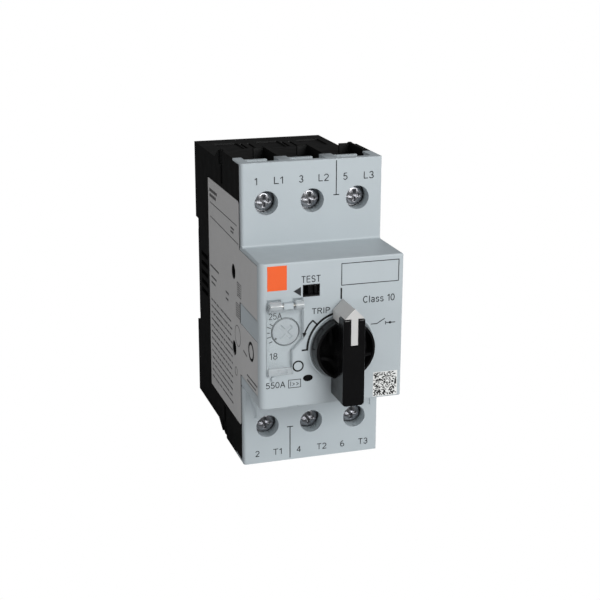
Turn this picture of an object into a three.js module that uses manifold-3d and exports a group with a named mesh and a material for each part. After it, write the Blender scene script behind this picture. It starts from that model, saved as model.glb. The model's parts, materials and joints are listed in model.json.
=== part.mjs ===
// Three-pole motor protection breaker with a rotary handle, for a 35 mm DIN rail.
// Millimetres. +Z is up, -Y is the front (handle side), +X is to the right seen from the front.
// The origin is the centre of the face that rests against the rail.
import * as THREE from "three";
import { mergeVertices } from "three/addons/utils/BufferGeometryUtils.js";
import Module from "manifold-3d";

const wasm = await Module();
wasm.setup();

// ---------------------------------------------------------------- driving dimensions
const WIDTH = 45;
const HEIGHT = 97.8; // over the terminal plates
const POLE_PITCH = 14.65;
const POLES = [-POLE_PITCH, 0, POLE_PITCH];
const ENDS = [1, -1]; // line terminals above, load terminals below
const PLATE_FRONT = -59.3; // face of the terminal plates
const PLATE_BACK = -57;
const BLOCK_FRONT = -79.2; // face of the raised operating block
const GRIP_FRONT = -90.4; // face of the handle
const BLOCK_TOP = 22.95;
const BLOCK_BOTTOM = -22.55;
const BODY_HALF_HEIGHT = 45.4; // black housing between its fins
const FOOT_BACK = 3.3; // feet that reach behind the rail flanges
const CHANNEL_TOP = 19;
const CHANNEL_BOTTOM = -18.6;
const GAP = 0.3; // running and assembly clearance

const HALF_W = WIDTH / 2;
const HALF_H = HEIGHT / 2;

const HOUSING = {
  front: PLATE_BACK + GAP,
  wall: 1.5,
  endWall: 1.8,
  back: -2.6, // inner face of the rear wall
  endWallFront: -50,
  partition: 1.3,
  bayHalfHeight: 24, // height of the mechanism bay that crosses all poles
  bayBack: -40.6,
  seatHalf: 15.2, // half height of the pad that meets the rail
};
const CHAMBER = {
  cross: 1.5, // thickness of the wall towards the mechanism
  floorFront: -47.3,
  floorBack: -45.8,
  slotFrom: 31.1, // slots that the busbars pass through
  slotTo: 32.9,
  slotHalf: 3.5,
  dividerFront: -49.8,
  tipHole: 2.2, // clearance around the screw tips
};
const FIN = { thickness: 1.5, front: -49, crest: -32.1, tail: -25.8 };
const WING = { reach: 3.4, front: -33.5, back: -32.3 }; // short wings beside the fins
const RECESS = { from: -3, to: 5, front: -16, back: -4 }; // shallow pockets in the end faces
const LOUVRE = { side: 1.35, half: 0.45, front: -15.5, back: -6, low: 44.2 };
const SIDE_GROOVES = [
  { depth: 0.7, front: -36.1, back: -33.6, low: 38 },
  { depth: 0.5, front: -36.3, back: -31, low: 44 },
];
const VENT = { count: 5, z: 1.3, pitch: 3.3, half: 0.8, front: -13.5, back: -4 };
const HOOK = { halfX: 20, depth: 2.4 };
const COVER = {
  wall: 1.6,
  front: 1.8,
  blockRadii: [1.6, 0.5, 0, 0], // front corners left and right, then the back ones
  plateRadii: [0.9, 0.3, 0, 0],
  collar: 1,
  collarBack: -54.6,
  openings: -76, // depth that the openings in the face are cut to
};
const GUIDE = { back: -50.3, inner: 19.8, before: 2.3, after: 1.5, low: 40, rim: 0.65 };
const GUIDE_LIP = { depth: 1.4, reach: 2.45, low: 44.2 };
const LATCH = { xs: [-18.8, 19.65], half: 0.45, depth: 1.2, bottom: -33, top: -29.6 };
const PAD = { right: -7.5, back: -76.2, bottom: -12.4, top: 12.25 }; // behind dial and test slider
const LUG = { left: -15.7, right: -12.6, front: -81.7, bottom: 9.1, top: 11.2 };
const EYE = { left: -19.3, right: -17.8, front: -80.5, bottom: -13.9, top: -12.6, bore: 0.4 };
const OVAL = { x: -7.65, z: -13.6, halfX: 1.33, halfZ: 0.9 };
const NOTCH = { left: -13.9, right: -10.8, depth: 1.2, top: -22 };
const SCREW = { z: 36.4, head: 3, front: -56.3, neck: -54.3, shank: 1.7, end: -44 };
const SCREW_HOLE = 3.75;
const RECESS_CROSS = { arm: 0.5, reach: 1.9, depth: 1.3, slotHalf: 0.4, slotDepth: 0.6 };
const CLAMP = { halfX: 4.2, halfZ: 4, front: -54, back: -52.9, ribs: [-3.4, 2.2], rib: 1.2 };
const BAR = { front: -49, back: -47.7, halfX: 4.4, near: 31.4, far: 41.6 };
const STRIP = { half: 3.2, thickness: 1.2 }; // copper strip bent from the bars
const TIP = { half: 1.8, proud: 0.8 }; // contact tips
const FIXED = { front: -30.2, back: -29 }; // plane of the fixed contact strips
const BIMETAL = {
  half: 1.6,
  front: -45.8,
  bottom: -26.9,
  top: -26,
  rear: -11,
  foot: -27.2,
  footHalf: 2.4,
  footFront: -13.6,
  footTop: -24.4,
};
const COIL = { z: 4.5, front: -26, back: -6, flange: 5.8, winding: 5 };
const CHUTE = { plates: 6, height: 11.4, thickness: 0.8, half: 4.5, cheek: 0.7, front: -40.2, back: -32.4 };
const BRIDGE = { half: 2, front: -33.4, back: -32.2, bottom: -4, top: 13 }; // moving contact
const KNOB = { x: 3.1, z: -4.6, radius: 9.8, neck: 5, back: BLOCK_FRONT - GAP };
const FRAME = { halfX: 9, halfZ: 9.5, front: -72.5, back: -52.5, sheet: 1 };
const SHAFT = {
  half: 2.2, // square that drives the knob
  front: -77.4,
  disc: 6.2,
  discFront: -57,
  discBack: -55.2,
  pin: 1.2,
  pinBack: -50,
  throwZ: 4.4,
};
const GRIP = { half: 3.4, top: 11.8, bottom: -15.2, back: BLOCK_FRONT - 0.4 };
const SLIDE = { half: 1.05, apex: 15.1, foot: 3.9, step: 9, stepBack: -85.8 };
const DIAL = { x: -14.3, z: 1.3, radius: 4.2, bore: 4.5 };
const FLAP = { hingeY: -80.4, hingeZ: 10.1, barrel: 1.5, pin: 0.5, bore: 0.72, floor: -77.9 };
const TEST = { left: -9.15, right: -4.15, bottom: 12.3, top: 15.55 };
const PORT = { y: -48.4, z: 12.7, radius: 2.5, depth: 3, boss: 3 }; // accessory drive ports
const LABEL = { thickness: 0.3, recess: 0.45, margin: 0.3 };
const LEFT_LABEL = { back: -15.8, front: -55.6, halfZ: 36.6, tabFront: -76.2 };
const LEFT_TABS = [
  [4.9, 21.6],
  [-19, -2],
];
const RIGHT_LABEL = { back: -20, front: -52, halfZ: 30 };
const CLIP = {
  flange: 9,
  flangeEnd: -44,
  boss: 7,
  seat: -0.9,
  step: 1.4,
  tip: -16.4, // what catches the rail
  shoulder: -18.9,
  tab: -48.6, // what a screwdriver pulls
  slotHalf: 1.7,
  slotBack: 2.2,
  toolHalf: 3,
  toolFrom: 1,
  toolTo: 2.2,
};
const SPRING = { bottom: -34.2, top: -22.6, radius: 1, wire: 0.24, turns: 5, y: 0.75 };
const POST = { half: 1.2, front: 0.9, thickness: 1.7 }; // that the clip's spring pushes on
const TRIP = { y: -44.4, z: -20.5, radius: 1.4, journal: 1, halfX: 21.4, body: 20.5 };

// ---------------------------------------------------------------- materials
const paint = (color, roughness, metalness = 0) =>
  new THREE.MeshStandardMaterial({ color, roughness, metalness });
const BLACK = paint(0x1c1e1e, 0.55);
const GREY = paint(0xb4bec2, 0.5);
const LABEL_GREY = paint(0x8a8a8a, 0.6);
const HANDLE_BLACK = paint(0x121314, 0.4);
const ARROW_GREY = paint(0xd4d4d2, 0.45);
const CLEAR = paint(0xdfe5e6, 0.15);
const STEEL = paint(0x9a98a2, 0.3, 1);
const BRASS = paint(0xb09a5a, 0.35, 1);
const COPPER = paint(0xb87350, 0.35, 1);
const MOULDED = paint(0xb9a98c, 0.6);

// ---------------------------------------------------------------- solids
// A closed three.js geometry as a manifold-3d solid.
function solid(geometry) {
  const bare = geometry.index ? geometry.toNonIndexed() : geometry.clone();
  bare.deleteAttribute("normal");
  bare.deleteAttribute("uv");
  const merged = mergeVertices(bare, 1e-4);
  const corners = merged.index.array;
  const faces = [];
  for (let i = 0; i < corners.length; i += 3) {
    const [a, b, c] = [corners[i], corners[i + 1], corners[i + 2]];
    if (a !== b && b !== c && c !== a) faces.push(a, b, c);
  }
  return new wasm.Manifold(
    new wasm.Mesh({
      numProp: 3,
      vertProperties: merged.attributes.position.array,
      triVerts: new Uint32Array(faces),
    }),
  );
}

const join = (...pieces) => pieces.reduce((all, piece) => all.add(piece));
const cut = (base, ...tools) => tools.reduce((left, tool) => left.subtract(tool), base);

// A box from its limits along X, Y and Z.
function box(x0, x1, y0, y1, z0, z1) {
  const geometry = new THREE.BoxGeometry(x1 - x0, y1 - y0, z1 - z0);
  return solid(geometry.translate((x0 + x1) / 2, (y0 + y1) / 2, (z0 + z1) / 2));
}

// An outline as a THREE.Shape, from [u, v] corners.
const outline = (corners) => new THREE.Shape(corners.map(([u, v]) => new THREE.Vector2(u, v)));

// A rectangle with a radius of its own at each corner, anticlockwise from the lowest left one.
function roundRect(u0, u1, v0, v1, radii) {
  const [r0, r1, r2, r3] = radii;
  const shape = new THREE.Shape();
  shape.moveTo(u0 + r0, v0);
  shape.lineTo(u1 - r1, v0);
  if (r1) shape.absarc(u1 - r1, v0 + r1, r1, -Math.PI / 2, 0);
  shape.lineTo(u1, v1 - r2);
  if (r2) shape.absarc(u1 - r2, v1 - r2, r2, 0, Math.PI / 2);
  shape.lineTo(u0 + r3, v1);
  if (r3) shape.absarc(u0 + r3, v1 - r3, r3, Math.PI / 2, Math.PI);
  shape.lineTo(u0, v0 + r0);
  if (r0) shape.absarc(u0 + r0, v0 + r0, r0, Math.PI, 1.5 * Math.PI);
  return shape;
}

const extrude = (shape, depth) =>
  new THREE.ExtrudeGeometry(shape, { depth, bevelEnabled: false, curveSegments: 4 });

// Prisms: the outline lies in YZ, XZ or XY, and the prism runs along the third axis.
function prismX(shape, x0, x1) {
  const turn = new THREE.Matrix4().set(0, 0, 1, x0, 1, 0, 0, 0, 0, 1, 0, 0, 0, 0, 0, 1);
  return solid(extrude(shape, x1 - x0).applyMatrix4(turn));
}
function prismY(shape, y0, y1) {
  return solid(extrude(shape, y1 - y0).rotateX(Math.PI / 2).translate(0, y1, 0));
}
function prismZ(shape, z0, z1) {
  return solid(extrude(shape, z1 - z0).translate(0, 0, z0));
}

// Round bars along X or Y through a point given by its other two coordinates.
function rodX(radius, x0, x1, y, z, sides = 16) {
  const bar = new THREE.CylinderGeometry(radius, radius, x1 - x0, sides).rotateZ(-Math.PI / 2);
  return solid(bar.translate((x0 + x1) / 2, y, z));
}
function rodY(radius, y0, y1, x, z, sides = 20) {
  const bar = new THREE.CylinderGeometry(radius, radius, y1 - y0, sides);
  return solid(bar.translate(x, (y0 + y1) / 2, z));
}

// A turned piece about an axis along Y; the profile runs from front to back as [radius, y].
function turned(profile, x, z, sides = 24) {
  const points = profile.map(([r, y]) => new THREE.Vector2(r, y));
  return solid(new THREE.LatheGeometry(points, sides).translate(x, 0, z));
}

const root = new THREE.Group();

// Adds one named mesh to the model.
function add(name, body, material, parent = root) {
  const { vertProperties, triVerts } = body.getMesh();
  const geometry = new THREE.BufferGeometry();
  geometry.setAttribute("position", new THREE.BufferAttribute(vertProperties, 3));
  geometry.setIndex(new THREE.BufferAttribute(triVerts, 1));
  const mesh = new THREE.Mesh(geometry.toNonIndexed(), material);
  mesh.geometry.computeVertexNormals();
  mesh.name = name;
  parent.add(mesh);
  return mesh;
}

// ---------------------------------------------------------------- rear housing
const PARTITIONS = [-POLE_PITCH / 2, POLE_PITCH / 2];

// One fin along the wire entries: level at the front, sloping down to the body at its tail.
function fin(x0, x1, end) {
  const low = BODY_HALF_HEIGHT - 1;
  const corners = [
    [FIN.front, low],
    [FIN.tail, low],
    [FIN.tail, BODY_HALF_HEIGHT],
    [FIN.crest, HALF_H],
    [FIN.front, HALF_H],
  ];
  const turnedOver = corners.map(([y, z]) => [y, z * end]);
  return prismX(outline(end > 0 ? turnedOver : turnedOver.reverse()), x0, x1);
}

// What the housing carries at one end: fins, louvred wings and the floor under the terminals.
function housingEnd(end) {
  const wall = HOUSING.wall;
  const level = (a, b) => (end > 0 ? [a, b] : [-b, -a]);
  const half = FIN.thickness / 2;
  const starts = [-HALF_W, PARTITIONS[0] - half, PARTITIONS[1] - half, HALF_W - wall];
  const pieces = starts.map((x) => fin(x, x + wall, end));
  for (const x of starts.slice(1)) {
    const span = level(BODY_HALF_HEIGHT - 0.5, HALF_H - 0.3);
    pieces.push(box(x - WING.reach, x + 0.1, WING.front, WING.back, ...span));
  }
  for (const x of [-HALF_W, HALF_W - wall]) {
    pieces.push(box(x, x + wall, HOUSING.front, FIN.front + 0.1, ...level(44, HALF_H - 1)));
  }
  return join(...pieces);
}

// What is cut away at one end: recesses in the top face, side grooves and the screw holes.
function housingEndCuts(end) {
  const level = (a, b) => (end > 0 ? [a, b] : [-b, -a]);
  const tools = [];
  for (const x of POLES) {
    const { from, to, front, back } = RECESS;
    tools.push(box(x + from, x + to, front, back, ...level(BODY_HALF_HEIGHT - 0.5, HALF_H)));
  }
  for (const x of PARTITIONS) {
    for (const middle of [x - LOUVRE.side, x + LOUVRE.side]) {
      const { half, front, back, low } = LOUVRE;
      tools.push(box(middle - half, middle + half, front, back, ...level(low, HALF_H)));
    }
  }
  for (const { depth, front, back, low } of SIDE_GROOVES) {
    tools.push(box(-HALF_W - 1, -HALF_W + depth, front, back, ...level(low, HALF_H + 1)));
    tools.push(box(HALF_W - depth, HALF_W + 1, front, back, ...level(low, HALF_H + 1)));
  }
  return tools;
}

function rearHousing() {
  const inner = HALF_W - HOUSING.wall;
  const ceiling = BODY_HALF_HEIGHT - HOUSING.endWall;
  const tub = cut(
    box(-HALF_W, HALF_W, HOUSING.front, FOOT_BACK, -BODY_HALF_HEIGHT, BODY_HALF_HEIGHT),
    box(-inner, inner, HOUSING.front - 1, HOUSING.back, -ceiling, ceiling),
    box(-inner, inner, HOUSING.front - 1, HOUSING.endWallFront, -HALF_H, HALF_H),
    box(-HALF_W - 1, HALF_W + 1, 0, FOOT_BACK + 1, CHANNEL_BOTTOM, CHANNEL_TOP),
  );
  // The fixed hook that the rail's upper flange slips behind.
  const lip = CHANNEL_TOP - HOOK.depth;
  const hook = box(-HOOK.halfX, HOOK.halfX, CLIP.step, FOOT_BACK, lip, CHANNEL_TOP + 0.5);
  const bosses = ENDS.flatMap((end) =>
    [-inner - 0.1, inner + 0.1 - PORT.boss].map((x) =>
      rodX(PORT.radius + 1, x, x + PORT.boss, PORT.y, end * PORT.z, 16),
    ),
  );
  const whole = join(tub, ...bosses, hook, ...ENDS.map(housingEnd));
  const tools = ENDS.flatMap(housingEndCuts);
  for (let i = 0; i < VENT.count; i += 1) {
    const z = VENT.z + (i - (VENT.count - 1) / 2) * VENT.pitch;
    tools.push(box(-HALF_W - 1, HALF_W + 1, VENT.front, VENT.back, z - VENT.half, z + VENT.half));
  }
  // Accessory ports: blind sockets in the side walls.
  for (const end of ENDS) {
    tools.push(rodX(PORT.radius, -HALF_W - 1, PORT.depth - HALF_W, PORT.y, end * PORT.z, 16));
    tools.push(rodX(PORT.radius, HALF_W - PORT.depth, HALF_W + 1, PORT.y, end * PORT.z, 16));
  }
  const side = HALF_W - LABEL.recess;
  const m = LABEL.margin;
  const left = LEFT_LABEL;
  const right = RIGHT_LABEL;
  tools.push(box(-HALF_W - 1, -side, left.front - 2, left.back + m, -left.halfZ - m, left.halfZ + m));
  tools.push(
    box(side, HALF_W + 1, right.front - m, right.back + m, -right.halfZ - m, right.halfZ + m),
  );
  // The rail rests on a raised pad that stays clear of the hook and the clip.
  const pad = HOUSING.seatHalf;
  tools.push(box(-HALF_W - 1, HALF_W + 1, -GAP, 1, pad, CHANNEL_TOP));
  tools.push(box(-HALF_W - 1, HALF_W + 1, -GAP, 1, CHANNEL_BOTTOM, -pad));
  // Dovetail for the rail clip: wide behind the lips, narrow between them.
  const wide = CLIP.flange + GAP;
  const narrow = CLIP.boss + GAP;
  tools.push(box(-wide, wide, CLIP.seat, CLIP.step + GAP, -HALF_H, CHANNEL_BOTTOM + 0.1));
  tools.push(box(-narrow, narrow, CLIP.seat, FOOT_BACK + 1, -HALF_H, CHANNEL_BOTTOM + 0.1));
  const socket = TRIP.halfX + GAP;
  tools.push(rodX(TRIP.journal + GAP, -socket, socket, TRIP.y, TRIP.z, 12));
  const { half, front, thickness } = POST;
  const foot = SPRING.bottom - 0.1;
  const post = box(-half, half, CLIP.seat - 0.1, front, foot - thickness, foot);
  return join(cut(whole, ...tools), post);
}

// Insulating plate between two poles, set back in the bay that the contact carrier crosses.
function phaseBarrier(x) {
  const t = HOUSING.partition / 2;
  const back = HOUSING.back - GAP;
  const front = CHAMBER.floorBack + GAP;
  const end = BODY_HALF_HEIGHT - HOUSING.endWall - GAP;
  const bay = HOUSING.bayHalfHeight;
  const corners = [
    [back, -end],
    [back, end],
    [front, end],
    [front, bay],
    [HOUSING.bayBack, bay],
    [HOUSING.bayBack, -bay],
    [front, -bay],
    [front, -end],
  ];
  return prismX(outline(corners), x - t, x + t);
}

// Insert behind the terminals of one end: a floor with slots for the busbars, a cross wall
// towards the mechanism and a short wall between the poles.
function terminalChamber(end) {
  const level = (a, b) => (end > 0 ? [a, b] : [-b, -a]);
  const { cross, floorFront, floorBack, slotFrom, slotTo, slotHalf, dividerFront } = CHAMBER;
  const side = HALF_W - HOUSING.wall - GAP;
  const top = BODY_HALF_HEIGHT - HOUSING.endWall - GAP;
  const low = slotFrom - cross;
  const t = HOUSING.partition / 2;
  const walls = [
    box(-side, side, floorFront, floorBack, ...level(low, top)),
    box(-side, side, HOUSING.front, floorBack, ...level(low, slotFrom)),
    ...PARTITIONS.map((x) => box(x - t, x + t, dividerFront, floorFront + 0.1, ...level(low, top))),
  ];
  const tools = POLES.flatMap((x) => [
    box(x - slotHalf, x + slotHalf, floorFront - 1, floorBack + 1, ...level(slotFrom, slotTo)),
    rodY(CHAMBER.tipHole, floorFront - 1, floorBack + 1, x, end * SCREW.z, 16),
  ]);
  return cut(join(...walls), ...tools);
}

// ---------------------------------------------------------------- front cover
// Grey walls around the wire entries at one end, behind the terminal plate.
function wireGuides(end) {
  const level = (a, b) => (end > 0 ? [a, b] : [-b, -a]);
  const front = PLATE_BACK - 0.1;
  const { back, inner, before, after, low, rim } = GUIDE;
  const side = HALF_W - HOUSING.wall - GAP;
  const blocks = [
    [-side, -inner],
    ...PARTITIONS.map((x) => [x - before, x + after]),
    [inner, side],
  ];
  const pieces = blocks.map(([x0, x1]) => box(x0, x1, front, back, ...level(low, HALF_H)));
  POLES.forEach((x, i) => {
    const start = blocks[i][1] - 0.1;
    const span = level(GUIDE_LIP.low, HALF_H - 0.5);
    pieces.push(box(start, x + GUIDE_LIP.reach, back - GUIDE_LIP.depth, back, ...span));
  });
  for (const [x0, x1] of [[-HALF_W, -inner], [inner, HALF_W]]) {
    pieces.push(box(x0, x1, front, FIN.front - GAP, ...level(HALF_H - rim, HALF_H)));
  }
  return join(...pieces);
}

// The shallow bed that the clear flap lies in, with pockets for its hinge barrels.
function flapBed() {
  const corners = flapOutline(GAP);
  const bed = prismY(outline(corners), BLOCK_FRONT - 1, FLAP.floor);
  const pockets = FLAP_BARRELS.map(([x0, x1]) =>
    box(x0 - GAP, x1 + GAP, BLOCK_FRONT - 1, FLAP.floor, 8, FLAP.hingeZ + FLAP.barrel + GAP),
  );
  return join(bed, ...pockets);
}

// Terminal plate at one end, with the screw wells and their collars.
function terminalCover(end) {
  const level = (a, b) => (end > 0 ? [a, b] : [-b, -a]);
  const seam = GAP + (end > 0 ? BLOCK_TOP : -BLOCK_BOTTOM);
  const plate = roundRect(-HALF_W, HALF_W, PLATE_FRONT, PLATE_BACK, COVER.plateRadii);
  const ring = (radius, y0, y1) => POLES.map((x) => rodY(radius, y0, y1, x, end * SCREW.z));
  const collars = ring(SCREW_HOLE + COVER.collar, PLATE_BACK - 0.1, COVER.collarBack);
  const body = join(prismZ(plate, ...level(seam, HALF_H)), ...collars, wireGuides(end));
  const tools = ring(SCREW_HOLE, PLATE_FRONT - 1, COVER.collarBack + 1);
  if (end < 0) {
    // Latch slots in the lower plate.
    const { xs, half, depth, bottom, top } = LATCH;
    for (const x of xs) {
      tools.push(box(x - half, x + half, PLATE_FRONT - 1, PLATE_FRONT + depth, bottom, top));
    }
  }
  return cut(body, ...tools);
}

function frontCover() {
  const { wall, openings } = COVER;
  const inner = HALF_W - wall;
  const block = roundRect(-HALF_W, HALF_W, BLOCK_FRONT, PLATE_BACK, COVER.blockRadii);
  const room = box(
    -inner,
    inner,
    BLOCK_FRONT + COVER.front,
    PLATE_BACK + 1,
    BLOCK_BOTTOM + wall,
    BLOCK_TOP - wall,
  );
  const shell = cut(prismZ(block, BLOCK_BOTTOM, BLOCK_TOP), room);
  const inside = BLOCK_FRONT + COVER.front - 0.1;
  const pad = box(-inner - 0.1, PAD.right, inside, PAD.back, PAD.bottom, PAD.top);
  const face = BLOCK_FRONT + 0.1;
  const lug = box(LUG.left, LUG.right, LUG.front, face, LUG.bottom, LUG.top);
  const eye = box(EYE.left, EYE.right, EYE.front, face, EYE.bottom, EYE.top);
  const before = BLOCK_FRONT - 1;
  const tools = [flapBed()];
  tools.push(rodY(KNOB.neck + 0.4, before, openings, KNOB.x, KNOB.z, 24));
  tools.push(rodY(DIAL.bore, before, openings, DIAL.x, DIAL.z, 28));
  tools.push(box(TEST.left, TEST.right, before, openings, TEST.bottom, TEST.top));
  const oval = new THREE.Shape();
  oval.absellipse(OVAL.x, OVAL.z, OVAL.halfX, OVAL.halfZ, 0, 2 * Math.PI);
  tools.push(prismY(oval, before, openings));
  const notchBack = BLOCK_FRONT + NOTCH.depth;
  tools.push(box(NOTCH.left, NOTCH.right, before, notchBack, BLOCK_BOTTOM - 1, NOTCH.top));
  const m = LABEL.margin;
  for (const [z0, z1] of LEFT_TABS) {
    const side = -HALF_W + LABEL.recess;
    tools.push(box(-HALF_W - 1, side, LEFT_LABEL.tabFront - m, PLATE_BACK + 1, z0 - m, z1 + m));
  }
  const bore = rodX(FLAP.bore, LUG.left - 1, LUG.right + 1, FLAP.hingeY, FLAP.hingeZ, 12);
  const eyeZ = (EYE.bottom + EYE.top) / 2;
  const eyelet = rodX(EYE.bore, EYE.left - 1, EYE.right + 1, EYE.front + 0.6, eyeZ, 8);
  return join(cut(join(shell, pad), ...tools), lug.subtract(bore), eye.subtract(eyelet));
}

// ---------------------------------------------------------------- labels
function leftLabel() {
  const { back, front, halfZ, tabFront } = LEFT_LABEL;
  const x0 = -HALF_W;
  const x1 = x0 + LABEL.thickness;
  const sheet = prismX(roundRect(front, back, -halfZ, halfZ, [1.2, 0.6, 0.6, 1.2]), x0, x1);
  const tabs = LEFT_TABS.map(([z0, z1]) => box(x0, x1, tabFront, front + 1, z0, z1));
  const ports = ENDS.map((end) => rodX(PORT.radius, x0 - 1, x1 + 1, PORT.y, end * PORT.z, 16));
  return cut(join(sheet, ...tabs), ...ports);
}

function rightLabel() {
  const { back, front, halfZ } = RIGHT_LABEL;
  const x0 = HALF_W - LABEL.thickness;
  const x1 = HALF_W;
  const sheet = prismX(roundRect(front, back, -halfZ, halfZ, [1.2, 1.2, 1.2, 1.2]), x0, x1);
  const ports = ENDS.map((end) => rodX(PORT.radius, x0 - 1, x1 + 1, PORT.y, end * PORT.z, 16));
  return cut(sheet, ...ports);
}

// ---------------------------------------------------------------- rail clip
function railClip() {
  const { flange, boss, seat, step, tip, shoulder, flangeEnd, tab } = CLIP;
  const body = join(
    box(-flange, flange, seat + GAP, step, flangeEnd, shoulder),
    box(-boss, boss, step - 0.1, FOOT_BACK, tab, tip),
  );
  const { slotHalf, slotBack, toolHalf, toolFrom, toolTo } = CLIP;
  return cut(
    body,
    box(-slotHalf, slotHalf, seat, slotBack, SPRING.bottom - 2.1, SPRING.top + 0.3),
    box(-toolHalf, toolHalf, step - 1, FOOT_BACK + 1, tab + toolFrom, tab + toolTo),
  );
}

// The point at parameter t of a helix that rises along Z about the point (x, y).
class Helix extends THREE.Curve {
  constructor(x, y, z0, z1, radius, turns) {
    super();
    Object.assign(this, { x, y, z0, z1, radius, turns });
  }
  getPoint(t, target = new THREE.Vector3()) {
    const angle = 2 * Math.PI * this.turns * t;
    const x = this.x + this.radius * Math.cos(angle);
    const y = this.y + this.radius * Math.sin(angle);
    return target.set(x, y, this.z0 + (this.z1 - this.z0) * t);
  }
}

function coilSpring(helix, wire) {
  const section = new THREE.Shape().absarc(0, 0, wire, 0, 2 * Math.PI);
  const steps = Math.round(helix.turns * 8);
  return solid(
    new THREE.ExtrudeGeometry(section, { steps, extrudePath: helix, curveSegments: 3 }),
  );
}

// ---------------------------------------------------------------- terminals
// One combination-head clamping screw on the axis X = 0, Z = 0.
function terminalScrew() {
  const { head, front, neck, shank, end } = SCREW;
  const profile = [
    [0, end],
    [shank - 0.4, end],
    [shank, end - 0.5],
    [shank, neck],
    [head, neck],
    [head, front + 0.4],
    [head - 0.5, front],
    [0, front],
  ];
  const body = turned(profile.reverse(), 0, 0, 20);
  const { arm, reach, depth, slotHalf, slotDepth } = RECESS_CROSS;
  return cut(
    body,
    box(-reach, reach, front - 1, front + depth, -arm, arm),
    box(-arm, arm, front - 1, front + depth, -reach, reach),
    box(-head - 1, head + 1, front - 1, front + slotDepth, -slotHalf, slotHalf),
  );
}

function terminalClamp() {
  const { halfX, halfZ, front, back, rib } = CLAMP;
  const plate = box(-halfX, halfX, front, back, -halfZ, halfZ);
  const ribs = CLAMP.ribs.map((x) => box(x, x + rib, back - 0.1, back + 0.5, -halfZ, halfZ));
  return cut(join(plate, ...ribs), rodY(SCREW.shank + GAP, front - 1, back + 1, 0, 0, 16));
}

// Copper strip from a line terminal to the fixed contact of its pole.
function lineBusbar() {
  const { front, back, halfX, near, far } = BAR;
  const { half, thickness } = STRIP;
  const [foot, tipFrom, tipTo] = [9.6, 10, 12.4];
  return cut(
    join(
      box(-halfX, halfX, front, back, near, far),
      box(-half, half, front, FIXED.back, near, near + thickness),
      box(-half, half, FIXED.front, FIXED.back, foot, near + thickness),
      box(-TIP.half, TIP.half, FIXED.front - TIP.proud, FIXED.front + 0.1, tipFrom, tipTo),
    ),
    rodY(SCREW.shank + GAP, front - 1, back + 1, 0, SCREW.z, 16),
  );
}

// Copper strip from a load terminal back to the foot of the bimetal.
function loadBusbar() {
  const { front, back, halfX, near, far } = BAR;
  const { half, thickness } = STRIP;
  const rear = BIMETAL.rear;
  return cut(
    join(
      box(-halfX, halfX, front, back, -far, -near),
      box(-half, half, front, rear, -near - thickness, -near),
      box(-half, half, rear - thickness, rear, -near - thickness, BIMETAL.foot - GAP),
    ),
    rodY(SCREW.shank + GAP, front - 1, back + 1, 0, -SCREW.z, 16),
  );
}

// ---------------------------------------------------------------- trip units and contacts
function bimetal() {
  const { half, front, bottom, top, rear, foot, footHalf, footFront, footTop } = BIMETAL;
  return join(
    box(-half, half, front, footFront + 0.6, bottom, top),
    box(-footHalf, footHalf, footFront, rear, foot, footTop),
  );
}

// Magnetic trip coil: wound bobbin with its core, contact tab in front and lead behind.
function magnetCoil() {
  const { z, front, back, flange, winding } = COIL;
  const profile = [
    [0, front - 2.5],
    [1.1, front - 2.5],
    [1.1, front],
    [flange, front],
    [flange, front + 1],
  ];
  const turns = 4;
  const pitch = (back - front - 2) / turns;
  for (let i = 0; i < turns; i += 1) {
    const y = front + 1 + i * pitch;
    profile.push([winding - 0.8, y + 0.1], [winding, y + pitch / 2]);
  }
  profile.push([winding - 0.8, back - 1.1], [flange, back - 1], [flange, back], [0, back]);
  const fixed = { half: 3, bottom: -8, top: 1.5 };
  const bridge = { half: 2, bottom: -1, top: 1.2 };
  const lead = { half: 1.2, thickness: 1.2, front: back - 3.4, bottom: -23.9, foot: back - 6.9 };
  const leadBack = lead.front + lead.thickness;
  const leadTop = lead.bottom + lead.thickness;
  return join(
    turned(profile, 0, z, 12),
    box(-fixed.half, fixed.half, FIXED.front, FIXED.back, fixed.bottom, fixed.top),
    box(-bridge.half, bridge.half, FIXED.back - 0.1, front + 0.5, bridge.bottom, bridge.top),
    box(-TIP.half, TIP.half, FIXED.front - TIP.proud, FIXED.front + 0.1, -3.4, bridge.bottom),
    box(-lead.half, lead.half, lead.front, leadBack, lead.bottom, 0),
    box(-lead.half, lead.half, lead.foot, leadBack - 0.1, lead.bottom, leadTop),
  );
}

// Stack of arc splitter plates held between two insulating cheeks.
function arcChute(z0) {
  const { plates, height, thickness, half, cheek, front, back } = CHUTE;
  const pitch = (height - thickness) / (plates - 1);
  const pieces = [
    box(-half - cheek, -half, front, back, z0, z0 + height),
    box(half, half + cheek, front, back, z0, z0 + height),
  ];
  for (let i = 0; i < plates; i += 1) {
    const z = z0 + i * pitch;
    pieces.push(box(-half - 0.1, half + 0.1, front + 0.6, back - 0.6, z, z + thickness));
  }
  return join(...pieces);
}

function movingContact() {
  const { half, front, back, bottom, top } = BRIDGE;
  const tips = [top - 2.8, bottom + 0.8].map((z) =>
    box(0.4 - half, half - 0.4, back - 0.1, back + 0.9, z, z + 2),
  );
  return join(box(-half, half, front, back, bottom, top), ...tips);
}

function contactCarrier() {
  const [front, back] = [-45, -41];
  const beam = box(-20.6, 20.6, front, back, 1, 8);
  const tip = BRIDGE.front - GAP;
  const prongs = POLES.map((x) => box(x - 2.6, x + 2.6, back - 0.1, tip, 2.5, 6.5));
  return join(beam, ...prongs);
}

function tripBar() {
  const { y, z, radius, journal } = TRIP;
  const pieces = [
    rodX(radius, -TRIP.body, TRIP.body, y, z, 12),
    rodX(journal, -TRIP.halfX, TRIP.halfX, y, z, 12),
    box(1, 4, -52, y, z - 0.6, z + 0.6),
  ];
  for (const x of POLES) {
    pieces.push(box(x - 1.4, x + 1.4, y - 0.6, y + 0.6, z - 4.8, z));
  }
  return join(...pieces);
}

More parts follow.
